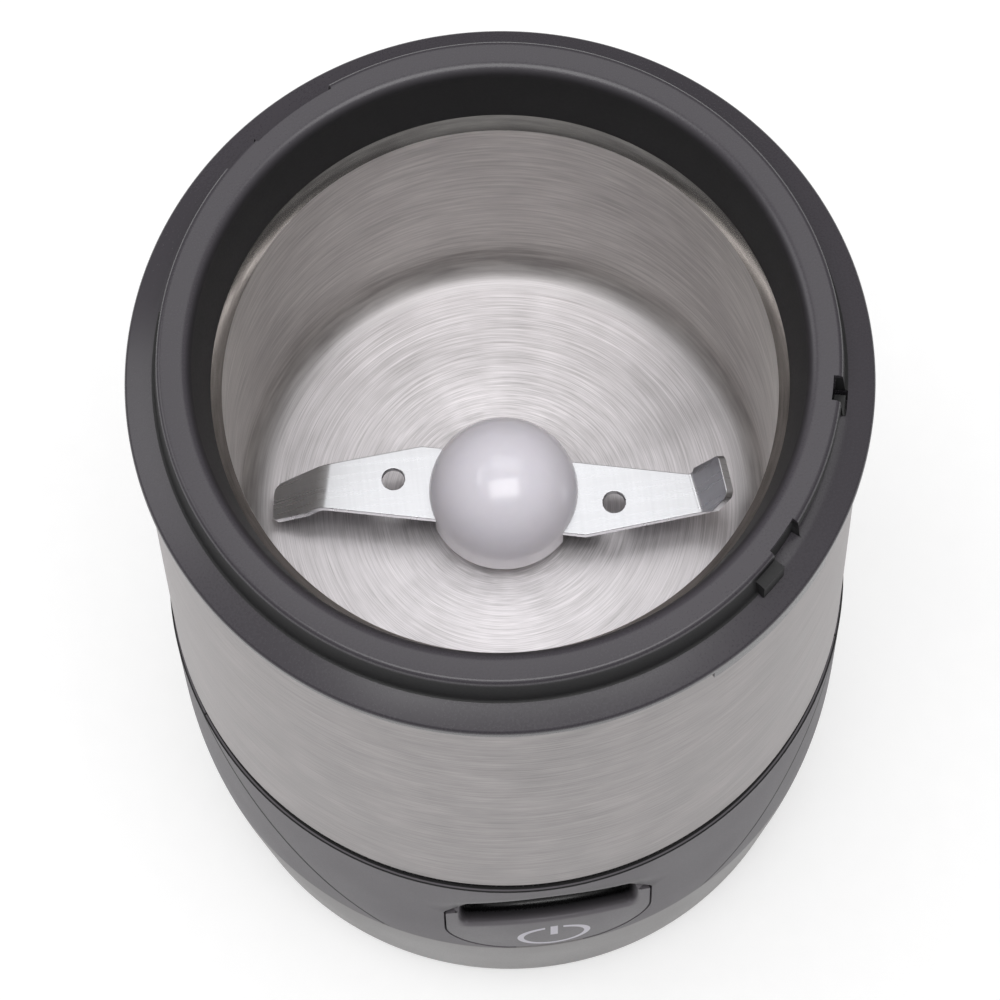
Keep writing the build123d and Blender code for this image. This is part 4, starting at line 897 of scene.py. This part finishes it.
def blade_arm(shape, shoulder, heel, lean, flap, turn):
    """One arm's middle surface: root, pierced part, outer part and the flap past the fold."""
    drop = (heel[1] + root_half) * window / (heel[0] - taper_start)
    lower = (taper_start + window, drop - root_half)
    flat = [(0, root_half), (taper_start, root_half), (taper_start + window, root_half), shoulder,
            heel, lower, (taper_start, -root_half), (0, -root_half)]
    verts = [shape.verts.new((across, along, 0)) for across, along in flat]
    shape.faces.new([verts[i] for i in (0, 1, 6, 7)])
    shape.faces.new([verts[i] for i in (2, 3, 4, 5)])
    frame_edges = [shape.edges.get((verts[1], verts[6])), shape.edges.get((verts[2], verts[5])),
                   shape.edges.new((verts[1], verts[2])), shape.edges.new((verts[6], verts[5]))]
    hole = Vector((hole_at, 0, 0))
    near, far = Vector((*shoulder, 0)), Vector((*heel, 0))
    along = (far - near).normalized()
    rising = Vector((-along.y, along.x, 0)) * cos(lean) + Vector((0, 0, sin(lean)))
    tip = [near + rising * point[0] + along * point[1] for point in flap]
    shape.faces.new([verts[3], *[shape.verts.new(spot) for spot in tip], verts[4]])
    bmesh.ops.subdivide_edges(shape, edges=frame_edges, cuts=5)
    border = [vert for vert in shape.verts
              if -0.01 < vert.co.x - taper_start < window + 0.01 and abs(vert.co.z) < 0.01]
    border.sort(key=lambda vert: atan2(vert.co.y, vert.co.x - hole_at))
    pane = shape.faces.new(border)
    bmesh.ops.inset_individual(shape, faces=[pane], thickness=0.4)
    for vert in pane.verts:
        outer = next(e.other_vert(vert) for e in vert.link_edges
                     if e.other_vert(vert) not in pane.verts)
        vert.co = hole + (outer.co - hole).normalized() * hole_radius
    bmesh.ops.delete(shape, geom=[pane], context="FACES_ONLY")
    for spot, point in zip(tip, flap):
        if len(point) == 3:
            vert = min(shape.verts, key=lambda v: (v.co - spot).length)
            bmesh.ops.bevel(
                shape, geom=[vert], offset=point[2] * 0.9, offset_type="OFFSET", segments=5,
                profile=0.5, affect="VERTICES", clamp_overlap=True, material=-1,
            )
    fold = min(shape.edges, key=lambda edge: (
        sum((v.co for v in edge.verts), Vector()) / 2 - (near + far) / 2).length)
    bmesh.ops.bevel(
        shape, geom=[fold], offset=0.9, offset_type="OFFSET", segments=5, profile=0.5,
        affect="EDGES", clamp_overlap=True, material=-1,
    )
    bmesh.ops.rotate(shape, verts=shape.verts, cent=(0, 0, 0), matrix=Matrix.Rotation(turn, 3, "Z"))


shape = bmesh.new()
blade_arm(shape, (25.4, root_half), (25.4, -1.1), radians(-33.7),
          [(1.9, -0.7), (7.6, -1.2, 0.5), (8.2, 4.0, 1.5), (5.3, 4.9)], pi)
blade_arm(shape, (26.3, root_half), (28.4, 0.0), radians(59.7),
          [(1.2, -0.7), (7.5, 0.2, 0.8), (7.0, 6.2, 1.2), (2.5, 6.6)], 0.0)
bmesh.ops.remove_doubles(shape, verts=shape.verts, dist=0.001)
bmesh.ops.rotate(
    shape, verts=shape.verts, cent=(0, 0, 0), matrix=Matrix.Rotation(blade_turn, 3, "Z")
)
bmesh.ops.translate(shape, verts=shape.verts, vec=(0, 0, blade_middle))
bmesh.ops.scale(shape, verts=shape.verts, vec=(mm, mm, mm))
bmesh.ops.recalc_face_normals(shape, faces=shape.faces)
made = piece("two_armed_blade", shape, "rotor", rolled, ["blade"], 25)
solid = made.modifiers.new("sheet", "SOLIDIFY")
solid.thickness = sheet * mm
solid.offset = 0.0
soften(made, 0.12, 2, 50)

# Hub cap: a glossy white moulded dome, pressed onto the end of the shaft over the blade, with a
# slot through its skirt for the blade's arms.
gloss = Finish(
    "glossy lilac white plastic",
    {"Coat Weight": 0.5, "Coat Roughness": 0.08, "Subsurface Weight": 0.05},
)
milky = gloss.noise(gloss.place(), 150, 3)
ripple = gloss.noise(gloss.place(), 520, 2)
gloss.tone(milky * 0.6 + ripple * 0.4, (226, 220, 229), (238, 232, 240))
gloss.rough(gloss.ramp(ripple, 0.3, 0.7, 0.16, 0.26))
gloss.bump(ripple, 0.006)
hub_radius, hub_foot, hub_wall, slot_half, slot_top = 10.5, 88.8, 1.6, 5.45, 92.3
dome = [(hub_radius * cos(radians(a)), blade_middle + hub_radius * sin(radians(a)))
        for a in range(0, 90, 6)]
shape = turned([(hub_radius, hub_foot), *dome, (0.0, blade_middle + hub_radius)], 120, False)
across = Vector((-sin(blade_turn), cos(blade_turn), 0))
for reach, normal in (
        (slot_half, across), (slot_half, -across), (slot_top, Vector((0, 0, 1)))):
    bmesh.ops.bisect_plane(
        shape, geom=shape.verts[:] + shape.edges[:] + shape.faces[:], dist=1e-8,
        plane_co=normal * reach * mm, plane_no=normal,
    )
slot = [face for face in shape.faces
        if face.calc_center_median().z < slot_top * mm
        and abs(face.calc_center_median().dot(across)) < slot_half * mm]
bmesh.ops.delete(shape, geom=slot, context="FACES")
facing(shape, lambda face: face.normal.z)
made = piece("domed_hub_cap", shape, "rotor", gloss, ["hub_cap"], 40)
shelled(made, hub_wall, 0.25, 3)

# Interlock rod: a black moulded strip behind the sleeve. The lid's key pushes it down onto the
# interlock switch.
rod_black = Finish("black slide plastic")
streak = rod_black.noise(rod_black.scaled(rod_black.place(), 500, 500, 60), 1, 3)
speck = rod_black.noise(rod_black.place(), 1400, 2)
rod_black.tone(streak * 0.6 + speck * 0.4, (13, 13, 14), (26, 25, 27))
rod_black.rough(rod_black.ramp(streak, 0.3, 0.7, 0.3, 0.5))
rod_black.bump(speck, 0.01)
dress(["interlock_rod"], rod_black)

# Studio: a plain pale floor that fades into a white surround, a wide soft lamp overhead with two
# weaker ones at the back and the left, and the camera high in front of the object.
floor = Finish("pale floor", {"Specular IOR Level": 0.1})
paper = floor.noise(floor.place(), 300, 2)
floor.tone(paper, (200, 200, 200), (206, 206, 206))
floor.rough(floor.ramp(paper, 0.3, 0.7, 0.7, 0.8))
shader_end = floor.tree.nodes["Material Output"].inputs["Surface"]
rays = floor.add("ShaderNodeLightPath", {}, "Is Camera Ray")
seen = rays + Wire(floor, rays.socket.node.outputs["Is Glossy Ray"])
glow = floor.add("ShaderNodeEmission", {"Color": (1, 1, 1, 1), "Strength": seen * 0.48})
both = floor.add("ShaderNodeAddShader", {0: Wire(floor, floor.shader.outputs[0]), 1: glow})
floor.feed(shader_end, both)
shape = bmesh.new()
bmesh.ops.create_grid(shape, x_segments=4, y_segments=4, size=3.0)
placed("floor", shape, floor)

scene = bpy.context.scene
world = bpy.data.worlds.new("studio")
scene.world = world
world.use_nodes = True
tree = world.node_tree
backdrop = tree.nodes["Background"]
backdrop.inputs["Color"].default_value = (1.0, 1.0, 1.0, 1.0)
heading = tree.nodes.new("ShaderNodeTexCoord")
split = tree.nodes.new("ShaderNodeSeparateXYZ")
sky = tree.nodes.new("ShaderNodeMapRange")
seen = tree.nodes.new("ShaderNodeLightPath")
brighter = tree.nodes.new("ShaderNodeMath")
brighter.operation = "MAXIMUM"
for label, value in (("From Min", 0.15), ("From Max", 0.95), ("To Min", 0.2), ("To Max", 0.75)):
    sky.inputs[label].default_value = value
tree.links.new(heading.outputs["Generated"], split.inputs["Vector"])
tree.links.new(split.outputs["Z"], sky.inputs["Value"])
tree.links.new(sky.outputs["Result"], brighter.inputs[0])
tree.links.new(seen.outputs["Is Camera Ray"], brighter.inputs[1])
tree.links.new(brighter.outputs["Value"], backdrop.inputs["Strength"])


def soft_lamp(name, heading, lean, distance, size, radiance):
    """An area lamp that looks at the object from a heading, from the front towards the right,
    and a lean from straight above, both in degrees. Its face has the radiance given."""
    lamp = bpy.data.lights.new(name, "AREA")
    lamp.shape = "RECTANGLE"
    lamp.size, lamp.size_y = size
    lamp.energy = radiance * pi * size[0] * size[1]
    made = bpy.data.objects.new(name, lamp)
    turn, tip = radians(heading), radians(lean)
    spot = Vector((sin(turn) * sin(tip), -cos(turn) * sin(tip), cos(tip))) * distance
    made.location = spot + Vector((0, 0, 0.12))
    made.rotation_euler = (-spot).to_track_quat("-Z", "Y").to_euler()
    scene.collection.objects.link(made)


soft_lamp("key lamp", 0, 14, 1.2, (1.0, 0.6), 3.6)
soft_lamp("back lamp", 165, 26, 1.2, (0.9, 0.5), 1.1)
soft_lamp("left lamp", -110, 50, 1.2, (0.6, 0.7), 1.6)

camera_data = bpy.data.cameras.new("camera")
camera_data.lens = 216.0
camera_data.sensor_width = 36.0
camera_data.clip_start, camera_data.clip_end = 0.05, 20.0
camera = bpy.data.objects.new("camera", camera_data)
camera.location = (-0.0268675, -0.27902961, 0.88632596)
camera.rotation_euler = (0.337603583, 0.011653180, -0.127184566)
scene.collection.objects.link(camera)
scene.camera = camera
scene.view_settings.view_transform = "Standard"
